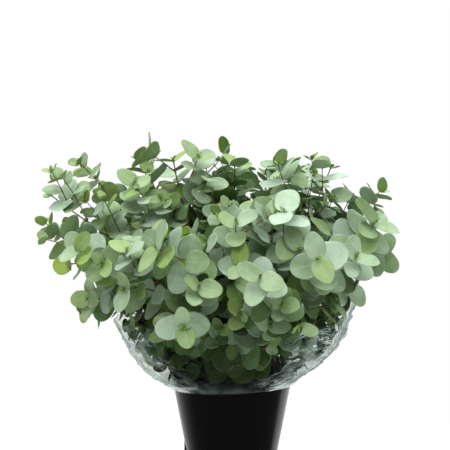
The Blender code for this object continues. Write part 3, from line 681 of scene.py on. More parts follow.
def add_nodes(axis, begin, step, rng):
    """Nodes at shortening distances up to the tip, each a quarter turn on from the one before."""
    turn = rng.uniform(0, pi)
    s = begin
    while s < axis.length - LAST_STEP_SHARE * step:
        axis.nodes.append(Node(s, turn))
        turn += pi / 2 + either_way(rng, NODE_TURN_PLAY)
        s += step * lerp(1.0, TIP_STEP_SHARE, s / axis.length) * rng.uniform(*NODE_STEP_PLAY)
    axis.nodes.append(Node(axis.length - NODE_HALF_HEIGHT, turn))


def ring(axis, s, sides, swell):
    """A ring of points round an axis, which stands out from its radius by a swell."""
    centre = axis.frame(s)[0]
    reach = axis.radius(s) + swell
    angles = [pi * (2 * k - 1) / sides for k in range(sides)]
    return [centre + axis.radial(s, angle) * reach for angle in angles]


def half_width(u):
    """Half the blade's width, in widths, at u along it: broad at the base and round at the end."""
    shifted = u**BLADE_BREADTH_SHIFT
    return sqrt(max(4 * shifted * (1 - shifted), 0.0)) / 2


def test_blade(leaf, root):
    """The blade a little thicker and wider than it is made, from the given share of its length on."""
    stations = LARGE_OUTLINE if leaf.length > LARGE_LEAF else SMALL_OUTLINE
    right = [(u, half_width(u) * PROBE_LARGER) for u in stations]
    outline = [(root, 0.0), *right, (PROBE_TIP, 0.0), *[(u, -v) for u, v in reversed(right)]]
    verts = [leaf.point(u, v) for u, v in outline]
    half = LEAF_CENTRE_THICKNESS / 2 + LEAF_CLEARANCE
    verts += [leaf.point(BLADE_MIDDLE, 0.0, half), leaf.point(BLADE_MIDDLE, 0.0, -half)]
    count = len(outline)
    faces = []
    for k in range(count):
        after = (k + 1) % count
        faces += [(count, k, after), (count + 1, after, k)]
    return tree((verts, faces))


def test_tube(axis, begin):
    """The tube a little thicker than it is made, from a distance along its axis on."""
    count = max(TUBE_PROBE_PIECES, int(axis.length / TUBE_PROBE_STEP))
    stations = [lerp(begin, axis.length, t) for t in shares(count)]
    return tree(tube([ring(axis, s, PROBE_SIDES, TUBE_CLEARANCE) for s in stations]))


def tree(shape):
    return BVHTree.FromPolygons([tuple(v) for v in shape[0]], shape[1])


def leaning(direction, radial, tilt):
    """Which way a leaf runs and which way it faces, when it leans away from its axis by a tilt."""
    along = direction * cos(tilt) + radial * sin(tilt)
    return along, direction * sin(tilt) - radial * cos(tilt)


class Grove:
    """All the stems while they grow, with what is needed to keep them clear of each other."""

    def __init__(self):
        self.stems = []
        self.blades = []
        self.obstacles = [tree(sleeve_shell()), tree(turned(bucket_profile(), BUCKET_SIDES))]

    def is_clear(self, probe):
        return not any(probe.overlap(other) for other in self.obstacles)

    def add_mains(self):
        slots = matched_slots()
        for index, row in enumerate(STEM_TIPS):
            rng = random.Random(SEED * 1000 + index)
            for _ in range(STEM_TRIES):
                axis = main_axis(row, slots[index], rng)
                if self.is_clear(test_tube(axis, STEM_PROBE_START)):
                    break
            else:
                raise ValueError(f"no room for stem {index + 1}")
            self.stems.append(Stem(f"leafy_stem_{index + 1:02d}", axis, row[-1], rng))
            self.obstacles.append(test_tube(axis, 0.0))
            add_nodes(axis, FIRST_NODE_HEIGHT, MAIN_NODE_STEP, rng)

    def add_twig(self, stem, node):
        """A side twig from a node of the stem's main axis, bending outwards and up."""
        rng = stem.rng
        origin, direction, _ = stem.main.frame(node.s)
        share = (node.s - FIRST_NODE_HEIGHT) / (stem.main.length - FIRST_NODE_HEIGHT)
        outward = Vector((origin.x, origin.y, 0.0)).normalized()
        for attempt in range(TWIG_TRIES):
            radial = stem.main.radial(node.s, node.turn + either_way(rng, TWIG_TURN_PLAY))
            spread = radians(lerp(*TWIG_SPREADS, sqrt(share)) + either_way(rng, TWIG_SPREAD_PLAY))
            heading = leaning(direction, radial, spread)[0].normalized()
            length = lerp(*TWIG_LENGTHS, share) * rng.uniform(*TWIG_LENGTH_PLAY)
            length *= 1 - TWIG_SHRINK_PER_TRY * attempt
            bend = outward * rng.uniform(*TWIG_BEND_OUT) + Vector((0, 0, rng.uniform(*TWIG_BEND_UP)))
            middle = origin + heading * (length / 2)
            end = origin + (heading + bend) * length
            points = curve(origin, middle, end, TWIG_PIECES)
            axis = Axis(points, TWIG_ROOT_RADIUS, TWIG_TIP_RADIUS)
            if self.is_clear(test_tube(axis, TWIG_PROBE_START)):
                node.twig = axis
                stem.twigs.append(axis)
                self.obstacles.append(test_tube(axis, TWIG_TUBE_START))
                add_nodes(axis, TWIG_FIRST_NODE, TWIG_NODE_STEP, rng)
                return

    def add_twigs(self):
        """A twig at every second node of each stem, on the side that faces outwards more."""
        for stem in self.stems:
            for node in stem.main.nodes[0:-1:2]:
                outward = stem.main.frame(node.s)[0]
                if stem.main.radial(node.s, node.turn).dot(outward) < 0:
                    node.turn += pi
                self.add_twig(stem, node)

    def leaf_probe(self, leaf, centre):
        """The leaf's test blade, or nothing where it would meet a stem, a blade, the bucket or the sleeve."""
        if not self.is_clear(test_blade(leaf, FREE_PROBE_START)):
            return None
        whole = test_blade(leaf, WHOLE_PROBE_START)
        for other, place, reach in self.blades:
            near = (place - centre).length < leaf.length * LEAF_REACH + reach
            if near and whole.overlap(other):
                return None
        return whole

    def add_leaf(self, axis, node, half, length, spread, youth, rng):
        """A leaf on one side of a node, turned a little this way and that until it finds room."""
        origin, direction, _ = axis.frame(node.s)
        for attempt in range(LEAF_TRIES):
            loose = 1 + LEAF_LOOSER_PER_TRY * attempt
            turn = node.turn + half * pi + either_way(rng, LEAF_TURN_PLAY) * loose
            tilt = radians(spread + either_way(rng, LEAF_SPREAD_PLAY) * loose)
            along, normal = leaning(direction, axis.radial(node.s, turn), tilt)
            along.normalize()
            roll = radians(either_way(rng, LEAF_ROLL_PLAY) * loose)
            normal = (Matrix.Rotation(roll, 3, along) @ normal).normalized()
            size = length * rng.uniform(*LEAF_SIZE_PLAY) * (1 - LEAF_SHRINK_PER_TRY * attempt)
            width = size * rng.uniform(*LEAF_WIDTHS) * lerp(1.0, YOUNG_WIDTH, youth)
            leaf = Leaf(origin, along, normal, size, width, rng.uniform(*LEAF_CUPS), youth)
            centre = leaf.point(0.5, 0.0)
            probe = self.leaf_probe(leaf, centre)
            if probe:
                node.leaves[half] = leaf
                self.blades.append((probe, centre, size * LEAF_REACH))
                return

    def add_pair(self, axis, node, largest, smallest, rng):
        """Opposite leaves at a node, or one opposite a twig, smaller and more upright towards the tip."""
        share = node.s / axis.length
        length = lerp(largest, smallest, share**LEAF_TAPER)
        tip_spread = lerp(*LEAF_TIP_SPREADS, smallest / LEAF_LENGTH)
        spread = lerp(LEAF_FOOT_SPREAD, tip_spread, share**2)
        youth = max(0.0, share - YOUNG_FROM) / (1 - YOUNG_FROM)
        for half in (1,) if node.twig else (0, 1):
            self.add_leaf(axis, node, half, length, spread, youth, rng)

    def add_leaves(self):
        """Leaves at all the nodes, the outermost first, so that the crown's outside is full."""
        rows = []
        for stem in self.stems:
            for axis in stem.axes():
                largest = LEAF_LENGTH if axis is stem.main else LEAF_LENGTH * TWIG_LEAF_SHARE
                for node in axis.nodes:
                    outwardness = (axis.frame(node.s)[0] - CROWN_CENTRE).length
                    rows.append((outwardness, axis, node, largest, stem))
        rows.sort(key=lambda row: -row[0])
        for _, axis, node, largest, stem in rows:
            self.add_pair(axis, node, largest, stem.tip_leaf, stem.rng)


# Leaves between the others, which the solids leave out

def grown():
    """The stems as in the solids, with more leafy twigs behind the film and in the upper crown."""
    grove = Grove()
    grove.add_mains()
    grove.add_twigs()
    grove.add_leaves()
    for lowest, highest, widest, leaf in EXTRA_TWIGS:
        for stem in grove.stems:
            for node in stem.main.nodes[1:-2]:
                place = stem.main.frame(node.s)[0]
                if lowest < place.z < highest and hypot(place.x, place.y) < widest:
                    node.turn += stem.rng.uniform(0, 2 * pi)
                    before = len(stem.twigs)
                    grove.add_twig(stem, node)
                    for twig in stem.twigs[before:]:
                        for place in twig.nodes:
                            grove.add_pair(twig, place, leaf, leaf * EXTRA_TIP_SHARE, stem.rng)
    return grove.stems


# Fine leaves and stems. A piece's second slot is its bark.

def mesh_object(name, shape, materials):
    """A new object in the scene from vertices and faces."""
    mesh = bpy.data.meshes.new(name)
    mesh.from_pydata([tuple(v) for v in shape[0]], [], shape[1])
    for material in materials:
        mesh.materials.append(material)
    made = bpy.data.objects.new(name, mesh)
    bpy.context.scene.collection.objects.link(made)
    return made


class Skin:
    """A growing mesh whose points carry a tint and a place on their leaf or stem."""

    def __init__(self):
        self.verts = []
        self.faces = []
        self.slots = []
        self.tints = []
        self.places = []

    def add(self, points, places, tint):
        start = len(self.verts)
        self.verts += points
        self.places += places
        self.tints += [tint] * len(points)
        return start

    def face(self, corners, slot):
        self.faces.append(corners)
        self.slots.append(slot)

    def finished(self, name, materials):
        """The object, shaded smooth, with its tints and places as a colour attribute and a UV map."""
        made = mesh_object(name, (self.verts, self.faces), materials)
        mesh = made.data
        mesh.polygons.foreach_set("material_index", self.slots)
        tints = mesh.attributes.new("tint", "FLOAT_COLOR", "POINT")
        tints.data.foreach_set("color", [value for tint in self.tints for value in tint])
        corners = [0] * len(mesh.loops)
        mesh.loops.foreach_get("vertex_index", corners)
        places = mesh.uv_layers.new(name="place")
        places.data.foreach_set("uv", [value for corner in corners for value in self.places[corner]])
        mesh.shade_smooth()
        return made


def blade_lift(leaf, u, side, wave, phase, bend):
    """How far the fine blade stands off the plain cupped one."""
    ripple = EDGE_WAVE * leaf.length * side * side * sin(wave * u + phase + EDGE_WAVE_SKEW * side)
    crease = -RIB_DROP * (1 - min(abs(side) * RIB_NARROWNESS, 1.0)) * sin(pi * u)
    return ripple + crease + bend * leaf.length * u * u * u


def add_blade(skin, leaf, tint, rng):
    """A thin closed blade with a crease along its midrib, a rippled edge and a bent tip.

    Its tint ends in 0 on the upper side, in 1 on the under side and in a half where these meet.
    """
    rows, columns = next(grid for longer, grid in BLADE_GRIDS if leaf.length > longer)
    wave = rng.uniform(*EDGE_WAVES)
    phase = rng.uniform(0, 2 * pi)
    bend = rng.uniform(*TIP_BEND)
    uneven = rng.uniform(*UNEVEN_WAVES)

    def spot(u, side, lift_sign):
        half = half_width(u) * (1 + EDGE_UNEVENNESS * sin(uneven * u + phase + side))
        lift = blade_lift(leaf, u, side, wave, phase, bend)
        body = BLADE_THICKNESS / 2 * lift_sign * (1 - side**4)
        return leaf.point(u, side * half, lift + body)

    base, tip = [skin.add([spot(u, 0.0, 1)], [(u, 0.5)], (*tint, 0.5)) for u in (0.0, 1.0)]
    stations = [(1 - cos(pi * row / rows)) / 2 for row in range(1, rows)]
    sides = [sin(pi / 2 * (2 * k / columns - 1)) for k in range(columns + 1)]
    last = len(stations) - 1
    grid = {}
    for lift_sign, under in ((1, 0.0), (-1, 1.0)):
        for row, u in enumerate(stations):
            for k, side in enumerate(sides):
                at_edge = k in (0, columns)
                if not (at_edge and (row, k) in grid):
                    place = (u, 0.5 + side * half_width(u))
                    shade = (*tint, 0.5 if at_edge else under)
                    grid[row, k] = skin.add([spot(u, side, lift_sign)], [place], shade)
        for k in range(columns):
            faces = [(base, grid[0, k], grid[0, k + 1]), (tip, grid[last, k + 1], grid[last, k])]
            for row in range(last):
                faces.append((grid[row, k], grid[row + 1, k], grid[row + 1, k + 1], grid[row, k + 1]))
            for face in faces:
                skin.face(face[::-lift_sign], 0)


def add_tube(skin, axis, tint):
    """A round stem that swells a little at its nodes and is closed at both ends."""
    count = max(TUBE_LEAST_PIECES, int(axis.length / TUBE_STEP))
    stations = [axis.length * k / count for k in range(count + 1)]
    for node in axis.nodes:
        stations += [node.s, max(node.s - NODE_SWELL_WIDTH, 0.0), min(node.s + NODE_SWELL_WIDTH, axis.length)]
    starts = []
    for s in sorted(set(stations)):
        nearest = min(abs(s - node.s) for node in axis.nodes)
        swell = axis.radius(s) * NODE_SWELL * max(0.0, 1 - nearest / NODE_SWELL_WIDTH)
        places = [(s, k / TUBE_SIDES) for k in range(TUBE_SIDES)]
        woody = min(axis.radius(s) / WOODY_RADIUS, 1.0)
        starts.append(skin.add(ring(axis, s, TUBE_SIDES, swell), places, (woody, *tint, 1.0)))
    for face in tube_faces(starts, TUBE_SIDES):
        skin.face(face, 1)


def painted_shade_share(place):
    """How much painted shade darkens the leaves at a place: 0 outside the crown, 1 deep in it or low down."""
    aside = place - CROWN_MIDDLE
    reach = hypot(*(value / size for value, size in zip(aside, CROWN_SIZE)))
    deep = (DEEP_BEGINS - reach) / DEEP_BEGINS
    low = (LOW_BEGINS - place.z) / LOW_HEIGHT
    return clamp(max(deep, low))


def leaf_tint(leaf, stem_tone, rng):
    """How glaucous, how bright and how young a leaf looks, each from 0 to 1. The brightness holds painted
    light towards the left and painted shade deep in the crown and low down.
    """
    middle = leaf.point(0.5, 0.0)
    right = (middle.x - middle.y) / RIGHT_REACH
    left = clamp((LEFT_BEGINS - middle.x) / LEFT_WIDTH)
    size = leaf.length / LEAF_LENGTH
    glaucous = GLAUCOUS + GLAUCOUS_BY_SIZE * size + GLAUCOUS_RIGHT * right + stem_tone
    glaucous += rng.gauss(0, GLAUCOUS_PLAY)
    # Brightness: a random tone, with painted light towards the left and painted shade deep in the crown and
    # low down; painted shade also makes leaves greener and less glaucous
    tone_and_painted_light = BRIGHT + PAINTED_LIGHT_LEFT * left + rng.gauss(0, BRIGHT_PLAY) - PAINTED_SHADE_LOSS * painted_shade_share(middle)
    glaucous += GLAUCOUS_BY_LIGHT * (tone_and_painted_light - BRIGHT_MIDDLE)
    young = YOUNG * leaf.youth * (YOUNG_SIZE - size) + rng.gauss(0, YOUNG_PLAY) - YOUNG_LESS
    if rng.random() < VIVID_SHARE + VIVID_LEFT * left:
        young += rng.uniform(*VIVID_YOUNGER)
        glaucous -= VIVID_GREENER
    return [clamp(value) for value in (glaucous, tone_and_painted_light, young)]


def tip_buds(axis, rng):
    """The tiny leaves that unfold beyond the last pair of an axis."""
    tip, direction, _ = axis.frame(axis.length)
    turn = axis.nodes[-1].turn
    leaves = []
    for length, spread, ahead in BUD_PAIRS:
        turn += pi / 2
        for half in (0, 1):
            tilt = radians(spread + either_way(rng, BUD_SPREAD_PLAY))
            along, normal = leaning(direction, axis.radial(axis.length, turn + half * pi), tilt)
            size = length * rng.uniform(*BUD_SIZE_PLAY)
            leaves.append(Leaf(tip + direction * ahead, along, normal, size, size * BUD_WIDTH, BUD_CUP, 1.0))
    return leaves


def clear_of_film(leaf):
    """Whether a leaf's middle and tip stay away from the film."""
    for u in (0.5, 1.0):
        place = leaf.point(u, 0.0)
        azimuth = atan2(place.y, place.x)
        if sleeve_hem(azimuth) < place.z < sleeve_edge(azimuth) + FILM_ROOM:
            aside = hypot(place.x, place.y) - sleeve_radius(place.z, azimuth)
            if abs(aside) < FILM_ROOM:
                return False
    return True


def make_foliage(stem, materials):
    """All the leaves and twigs of a stem in one piece, in place of its solid."""
    rng = random.Random(f"{stem.name} looks {LOOKS_SEED}")
    skin = Skin()
    stem_tone = rng.gauss(0, STEM_TONE_PLAY)
    for axis in stem.axes():
        add_tube(skin, axis, (rng.random(), rng.random()))
        leaves = [leaf for node in axis.nodes for leaf in node.leaves.values()]
        leaves += [bud for bud in tip_buds(axis, rng) if clear_of_film(bud)]
        for leaf in leaves:
            add_blade(skin, leaf, leaf_tint(leaf, stem_tone, rng), rng)
    piece = skin.finished(stem.name.replace("leafy_stem", "foliage"), materials)
    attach(piece, "root")
    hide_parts(stem.name)
    return piece


# The film

def crease_height(place):
    """A crumpled relief between about -1 and 1: cells that stand in or out, with sharp folds between."""
    total = 0.0
    for size, share in FILM_CREASES:
        distances, centres = noise.voronoi(place / size)
        sign = 1 if noise.cell(centres[0] * CREASE_SIGN_STEP) > 0 else -1
        total += share * sign * min((distances[1] - distances[0]) * CREASE_STEEPNESS, 1.0)
    return total


def film_offset(azimuth, height, radius):
    """How far the crinkled film stands off its smooth form."""
    place = polar(radius, azimuth, height)
    place += FILM_SHIFT * noise.noise_vector(place / FILM_SHIFT_SIZE)
    pleated = place.copy()
    pleated.z = (place.z - PLEAT_SLOPE * place.x) * PLEAT_THINNESS
    away = (degrees(azimuth) - PLEAT_AZIMUTH + 180) % 360 - 180
    share = exp(-((away / PLEAT_WIDTH) ** 2))
    relief = lerp(crease_height(place), crease_height(pleated), share)
    relief += FILM_BILLOW * noise.noise(place / FILM_BILLOW_SIZE)
    from_clear = abs((azimuth / (2 * pi) - FILM_CLEAR_SIDE + 0.5) % 1 - 0.5)
    crinkled = (from_clear - FILM_CLEAR_WIDTH[0]) / (FILM_CLEAR_WIDTH[1] - FILM_CLEAR_WIDTH[0])
    relief *= lerp(FILM_TAUT_SHARE, 1.0, clamp(crinkled))
    free = clamp((height - sleeve_hem(azimuth)) / HEM_FREE_HEIGHT)
    offset = clamp(relief * FILM_CRUMPLE, *FILM_LIMITS)
    return offset * free if offset < 0 else offset * lerp(HEM_LOOSENESS, 1.0, free)


def make_film(surface):
    """The clear film as one crinkled sheet, gathered round the bucket."""
    noise.seed_set(FILM_SEED)
    verts, corners = [], []
    for step in range(FILM_RINGS + 1):
        for side in range(FILM_SIDES):
            azimuth = 2 * pi * side / FILM_SIDES
            ragged = FILM_EDGE_RAGGED * noise.noise(polar(FILM_EDGE_PATH, azimuth, 0.0))
            share = (step / FILM_RINGS) ** SLEEVE_RING_CROWDING
            height = lerp(sleeve_hem(azimuth), sleeve_edge(azimuth) + ragged, share)
            radius = sleeve_radius(height, azimuth) + SLEEVE_THICKNESS / 2
            verts.append(polar(radius + film_offset(azimuth, height, radius), azimuth, height))
            if step < FILM_RINGS:
                for across, up in ((0, 0), (1, 0), (1, 1), (0, 1)):
                    corners += [(side + across) / FILM_SIDES, (step + up) / FILM_RINGS]
    starts = [step * FILM_SIDES for step in range(FILM_RINGS + 1)]
    made = mesh_object("film", (verts, tube_faces(starts, FILM_SIDES)[:-2]), [surface])
    made.data.uv_layers.new(name="place").data.foreach_set("uv", corners)
    made.data.shade_smooth()
    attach(made, "root")
    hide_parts("film_sleeve")
    return made


# The bucket

def rounded(profile, radius):
    """The profile with its inner corners rounded by short arcs."""
    points = [Vector((r, z, 0.0)) for r, z in profile]
    smooth = [profile[0]]
    for before, corner, after in zip(points, points[1:], points[2:]):
        reach = min(radius, (before - corner).length * ROUND_MOST, (after - corner).length * ROUND_MOST)
        start = corner + (before - corner).normalized() * reach
        end = corner + (after - corner).normalized() * reach
        smooth += [(point.x, point.y) for point in curve(start, corner, end, ROUND_STEPS)]
    smooth.append(profile[-1])
    return smooth


def fin_shape(azimuth):
    """A nesting fin, let into the bucket's wall."""
    angle = radians(azimuth)
    sideways = polar(FIN_THICKNESS / 2, angle + pi / 2, 0.0)
    verts = []
    for sign in (-1, 1):
        for z in (FIN_BOTTOM, FIN_TOP):
            inner = bucket_radius(z) - BUCKET_WALL / 2
            verts += [polar(radius, angle, z) + sideways * sign for radius in (inner, FIN_RADIUS)]
    faces = [(0, 1, 3, 2), (4, 6, 7, 5), (0, 4, 5, 1), (2, 3, 7, 6), (0, 2, 6, 4), (1, 5, 7, 3)]
    return verts, faces


def make_bucket(surface):
    """The bucket with round walls and soft corners, in place of its faceted solid."""
    made = mesh_object("pail", turned(rounded(bucket_profile(), CORNER_ROUND), FINE_SIDES), [surface])
    made.data.shade_smooth()
    made.data.set_sharp_from_angle(angle=SHARP_ANGLE)
    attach(made, "root")
    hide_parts("bucket")
    for k, azimuth in enumerate(FIN_AZIMUTHS):
        fin = mesh_object(f"pail_fin_{k + 1}", fin_shape(azimuth), [surface])
        soften = fin.modifiers.new("Bevel", "BEVEL")
        soften.width = FIN_ROUND
        soften.segments = FIN_ROUND_STEPS
        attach(fin, "root")


# Materials

def linear(colour):
    """A colour from 0 to 255 as linear red, green, blue and alpha."""
    parts = [value / 255 for value in colour]
    return (*[c / 12.92 if c <= 0.04045 else ((c + 0.055) / 1.055) ** 2.4 for c in parts], 1.0)


class Nodes:
    """A tree of nodes, with short ways to add and join them."""

    def __init__(self, tree):
        self.tree = tree

    def put(self, socket, value):
        """Gives an input a value, or joins it to the output of another node."""
        if isinstance(value, bpy.types.NodeSocket):
            self.tree.links.new(value, socket)
        else:
            socket.default_value = value

    def add(self, kind, inputs=(), **settings):
        """A new node with its settings, whose inputs are given by place or by name."""
        made = self.tree.nodes.new(kind)
        for key, value in settings.items():
            setattr(made, key, value)
        for key, value in dict(inputs).items():
            self.put(made.inputs[key], value)
        return made

    def math(self, operation, *values, clamp=False):
        return self.add("ShaderNodeMath", enumerate(values), operation=operation, use_clamp=clamp).outputs[0]

    def times(self, a, b):
        return self.math("MULTIPLY", a, b)

    def larger(self, a, b):
        return self.math("MAXIMUM", a, b)

    def between(self, a, b):
        """How far apart two numbers are."""
        return self.math("ABSOLUTE", self.math("SUBTRACT", a, b))

    def ramp(self, value, low, high, start=0.0, end=1.0):
        """A number that goes softly from start to end while the value goes from low to high."""
        inputs = enumerate((value, low, high, start, end))
        return self.add("ShaderNodeMapRange", inputs, interpolation_type="SMOOTHSTEP").outputs[0]

    def lerp(self, share, a, b):
        return self.add("ShaderNodeMix", {0: share, 2: a, 3: b}).outputs[0]

    def mix(self, share, a, b):
        """A colour between two colours."""
        return self.add("ShaderNodeMix", {0: share, 6: a, 7: b}, data_type="RGBA").outputs[2]

    def spot(self):
        """The place in the object's own space."""
        return self.add("ShaderNodeTexCoord").outputs["Object"]

    def noise(self, scale, detail, stretch=(1, 1, 1)):
        mapping = self.add("ShaderNodeMapping", {"Vector": self.spot(), "Scale": stretch})
        inputs = {"Vector": mapping.outputs[0], "Scale": scale, "Detail": detail}
        return self.add("ShaderNodeTexNoise", inputs).outputs[0]

    def bump(self, height, strength, distance):
        inputs = {"Height": height, "Strength": strength, "Distance": distance}
        return self.add("ShaderNodeBump", inputs).outputs[0]


class Shader(Nodes):
    """The nodes of a new material."""

    def __init__(self, name):
        self.material = bpy.data.materials.new(name)
        self.material.use_nodes = True
        super().__init__(self.material.node_tree)
        self.main = self.tree.nodes["Principled BSDF"]

    def dress(self, looks):
        """Gives the main surface its colour and the other looks."""
        for name, value in looks.items():
            self.put(self.main.inputs[name], value)

    def show(self, share, first, second):
        """Shows a mix of two surfaces."""
        both = self.add("ShaderNodeMixShader", {0: share, 1: first.outputs[0], 2: second.outputs[0]})
        self.put(self.tree.nodes["Material Output"].inputs[0], both.outputs[0])

    def place(self):
        """Where a point lies along and across its leaf, or round and up the film."""
        place = self.add("ShaderNodeUVMap", uv_map="place")
        return self.add("ShaderNodeSeparateXYZ", {0: place.outputs[0]}).outputs[:2]

    def tints(self):
        """The red, green, blue and alpha of the tint attribute."""
        attribute = self.add("ShaderNodeAttribute", attribute_name="tint")
        split = self.add("ShaderNodeSeparateColor", {0: attribute.outputs["Color"]})
        return [*split.outputs, attribute.outputs["Alpha"]]


def vein_share(shader, along, aside):
    """1 on the veins and 0 between them: a midrib, and side veins that run out and forwards from it."""
    rib_width = shader.math("MULTIPLY_ADD", along, RIB_TAPER, RIB_WIDTH)
    rib = shader.math("SUBTRACT", 1.0, shader.ramp(aside, RIB_CORE, rib_width))
    forward = shader.math("SUBTRACT", along, shader.times(aside, VEIN_SLANT))
    cycle = shader.math("FRACT", shader.times(forward, VEIN_COUNT))
    lines = shader.math("SUBTRACT", 1.0, shader.ramp(shader.between(cycle, 0.5), 0.0, VEIN_WIDTH))
    fading = shader.times(lines, shader.ramp(aside, *VEIN_FADE))
    return shader.larger(rib, shader.times(fading, VEIN_STRENGTH))


def leaf_material():
    shader = Shader("eucalyptus_leaf")
    glaucous, tone_and_painted_light, young, under = shader.tints()
    along, across = shader.place()
    aside = shader.between(across, 0.5)
    veins = vein_share(shader, along, aside)
    mottle = shader.noise(*LEAF_MOTTLE)
    bloom = shader.math("ADD", glaucous, shader.ramp(mottle, *BLOOM_RAMP), clamp=True)
    edge = shader.times(shader.ramp(aside, *EDGE_BAND), shader.ramp(tone_and_painted_light, *EDGE_RAMP))
    colour = linear(LEAF_GREEN)
    for share, tone in (
        (bloom, LEAF_GLAUCOUS),
        (young, LEAF_YOUNG),
        # Deep green where the brightness is low, from random tone and from painted shade
        (shader.ramp(tone_and_painted_light, *DEEP_RAMP), LEAF_DEEP),
        # Painted shade: the darkest leaves, deep in the crown and low down, go towards near-black green
        (shader.ramp(tone_and_painted_light, *PAINTED_SHADE_RAMP), LEAF_PAINTED_SHADE),
        (shader.times(under, UNDERSIDE_DEEPER), LEAF_DEEP),
        (shader.times(veins, shader.ramp(tone_and_painted_light, *VEIN_RAMP)), LEAF_VEIN),
        (edge, LEAF_VEIN),
    ):
        colour = shader.mix(share, colour, linear(tone))
    relief = shader.math("ADD", shader.times(veins, VEIN_DEPTH), shader.noise(*LEAF_GRAIN))
    shader.dress({
        "Base Color": colour,
        "Roughness": shader.ramp(mottle, *LEAF_ROUGHNESS),
        "Specular IOR Level": 0.20,
        "Normal": shader.bump(relief, strength=0.22, distance=0.0006),
    })
    # The light let through is duller where the brightness is low, so it carries the painted shade too
    lit = shader.mix(shader.ramp(tone_and_painted_light, *LIT_THROUGH_RAMP), colour, linear(LEAF_LIT_THROUGH))
    shader.show(LEAF_THROUGH, shader.main, shader.add("ShaderNodeBsdfTranslucent", {0: lit}))
    return shader.material


def bark_material():
    shader = Shader("eucalyptus_bark")
    woody, green = shader.tints()[:2]
    streaks = shader.noise(*BARK_STREAKS)
    colour = shader.mix(shader.ramp(woody, *WOODY_RAMP), linear(BARK_RED), linear(BARK_BROWN))
    colour = shader.mix(shader.ramp(green, *GREENISH_RAMP), colour, linear(BARK_GREEN))
    colour = shader.mix(shader.ramp(streaks, *STREAK_RAMP), colour, linear(LEAF_DEEP))
    normal = shader.bump(streaks, strength=0.3, distance=0.0005)
    shader.dress({"Base Color": colour, "Roughness": 0.55, "Normal": normal})
    return shader.material


def crinkle_lines(shader, size, width, stretch):
    """Thin lines along the edges of distorted cells of about a size, 1 on a line and 0 off it."""
    spot = shader.spot()
    shift = shader.add("ShaderNodeTexNoise", {"Vector": spot, "Scale": LINE_SHIFT_SCALE / size})
    inputs = {0: shift.outputs["Color"], 1: (LINE_SHIFT * size,) * 3, 2: spot}
    shifted = shader.add("ShaderNodeVectorMath", inputs, operation="MULTIPLY_ADD")
    slope = (0, atan(PLEAT_SLOPE), 0)
    sloping = shader.add("ShaderNodeMapping", {0: shifted.outputs[0], "Rotation": slope, "Scale": stretch})
    inputs = {"Vector": sloping.outputs[0], "Scale": 1 / size}
    cells = shader.add("ShaderNodeTexVoronoi", inputs, feature="DISTANCE_TO_EDGE")
    return shader.ramp(cells.outputs["Distance"], width, 0.0)


def film_material():
    """Clear film: mirror-like where it turns edge on, white along its creases, hazy at its hem. Its colour
    holds painted shade in dark teal patches, and white that is partly milky haze and partly painted
    highlight.
    """
    shader = Shader("clear_film")
    around, up = shader.place()
    half_turn_on = shader.math("FRACT", shader.math("ADD", around, 1.5 - FILM_CLEAR_SIDE))
    crinkled_side = shader.ramp(shader.between(half_turn_on, 0.5), *FILM_CLEAR_WIDTH)
    pleated_side = shader.ramp(shader.between(around, PLEAT_AZIMUTH % 360 / 360), *PLEATED_SIDE)
    crumples, pleats = [crinkle_lines(shader, *lines) for lines in (CRUMPLE_LINES, PLEAT_LINES)]
    clusters = shader.ramp(shader.noise(*FILM_CLUSTERS), *CLUSTER_RAMP)
    folded = shader.times(shader.lerp(pleated_side, crumples, pleats), clusters)
    haze = shader.ramp(shader.noise(*FILM_HAZE), *HAZE_RAMP)
    crinkled = shader.times(shader.larger(folded, haze), crinkled_side)
    # Painted shade and painted highlight: random patches go from dark teal to white, and the creases on the
    # crinkled sides go white
    tone = shader.ramp(shader.noise(*FILM_PAINTED_PATCHES), *PAINTED_PATCH_RAMP)
    tone = shader.larger(tone, shader.times(folded, crinkled_side))

    facing = shader.add("ShaderNodeLayerWeight", {"Blend": 0.5}).outputs["Facing"]
    opacity = shader.larger(shader.ramp(facing, *EDGE_ON_RAMP), shader.times(crinkled, CRINKLE_OPACITY))
    ends = shader.larger(shader.ramp(up, *HEM_RAMP), shader.ramp(up, *ROLLED_RAMP))
    opacity = shader.math("ADD", shader.math("ADD", opacity, ends), LEAST_OPACITY, clamp=True)
    shader.dress({
        "Base Color": shader.mix(tone, linear(FILM_PAINTED_SHADE), linear(FILM_HAZE_AND_HIGHLIGHT)),
        "Metallic": shader.ramp(crinkled, *FILM_METAL),
        "Roughness": 0.10,
    })
    shader.show(opacity, shader.add("ShaderNodeBsdfTransparent", {0: linear(FILM_CLEAR)}), shader.main)
    return shader.material


def plastic_material():
    shader = Shader("black_plastic")
    scuffs = shader.noise(*PLASTIC_SCUFFS)
    worn = shader.ramp(scuffs, *SCUFF_RAMP)
    shader.dress({
        "Base Color": shader.mix(worn, linear(PLASTIC_BLACK), linear(PLASTIC_WORN)),
        "Roughness": shader.ramp(scuffs, *PLASTIC_ROUGHNESS),
        "Specular IOR Level": 0.30,
        "Normal": shader.bump(shader.noise(*PLASTIC_GRAIN), strength=0.05, distance=0.0003),
    })
    return shader.material


def water_material():
    shader = Shader("bucket_water")
    shader.dress({
        "Base Color": linear(WATER_TINT),
        "Roughness": 0.04,
        "Transmission Weight": 0.85,
        "IOR": 1.33,
        "Normal": shader.bump(shader.noise(*WATER_RIPPLES), strength=0.2, distance=0.001),
    })
    return shader.material


# The studio

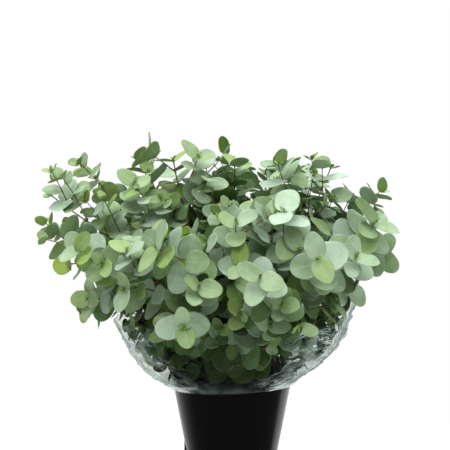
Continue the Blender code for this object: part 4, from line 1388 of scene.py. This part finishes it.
def make_floor():
    """A pale floor that fades into the white round it, like a studio sweep."""
    half = FLOOR_SIZE / 2
    corners = [(-half, -half, 0), (half, -half, 0), (half, half, 0), (-half, half, 0)]
    shader = Shader("pale_floor")
    shader.dress({"Base Color": linear(FLOOR_COLOUR), "Roughness": 0.9})
    distance = shader.add("ShaderNodeVectorMath", {0: shader.spot()}, operation="LENGTH")
    share = shader.ramp(distance.outputs["Value"], *FLOOR_FADE)
    shader.show(share, shader.main, shader.add("ShaderNodeEmission"))
    floor = mesh_object("floor", (corners, [(0, 1, 2, 3)]), [shader.material])
    floor.location.z = -FLOOR_DROP
    floor.visible_glossy = False


def make_world():
    """White to the camera; to everything else bright behind and above and dim in front."""
    world = bpy.data.worlds.new("studio")
    bpy.context.scene.world = world
    world.use_nodes = True
    sky = Nodes(world.node_tree)
    direction = sky.add("ShaderNodeTexCoord").outputs["Generated"]
    x, y, z = sky.add("ShaderNodeSeparateXYZ", {0: direction}).outputs
    begins, full = [sky.ramp(x, *BACK_SIDES, *ends) for ends in (BACK_BEGINS, BACK_FULL)]
    behind = sky.ramp(y, begins, full, FRONT_DIM, BACK_BRIGHT)
    above = sky.ramp(z, *TOP_HEIGHTS, 0.0, TOP_BRIGHT)
    to_camera = sky.add("ShaderNodeLightPath").outputs["Is Camera Ray"]
    light = world.node_tree.nodes["Background"].inputs
    sky.put(light["Strength"], sky.lerp(to_camera, sky.larger(behind, above), 1.0))
    sky.put(light["Color"], (1, 1, 1, 1))


def aimed(name, data, place, target):
    """A camera or light at a place, turned to a target."""
    made = bpy.data.objects.new(name, data)
    made.location = place
    made.rotation_euler = (target - made.location).to_track_quat("-Z", "Y").to_euler()
    bpy.context.scene.collection.objects.link(made)
    return made


def make_lights():
    for name, place, power in LIGHTS:
        data = bpy.data.lights.new(name, "AREA")
        data.size = LIGHT_SIZE
        data.energy = power
        aimed(name, data, place, LIGHT_TARGET)


def make_camera():
    data = bpy.data.cameras.new("camera")
    data.lens = CAMERA_LENS
    data.sensor_width = CAMERA_SENSOR
    lift = radians(CAMERA_ELEVATION)
    place = CAMERA_TARGET + Vector((0, -cos(lift), sin(lift))) * CAMERA_DISTANCE
    bpy.context.scene.camera = aimed("camera", data, place, CAMERA_TARGET)


def main():
    bpy.context.scene.view_settings.view_transform = "Standard"
    make_camera()
    make_world()
    make_lights()
    make_floor()
    foliage = [leaf_material(), bark_material()]
    for stem in grown():
        make_foliage(stem, foliage)
    make_bucket(plastic_material())
    make_film(film_material())
    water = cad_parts["water"]
    water.data.materials.clear()
    water.data.materials.append(water_material())


main()
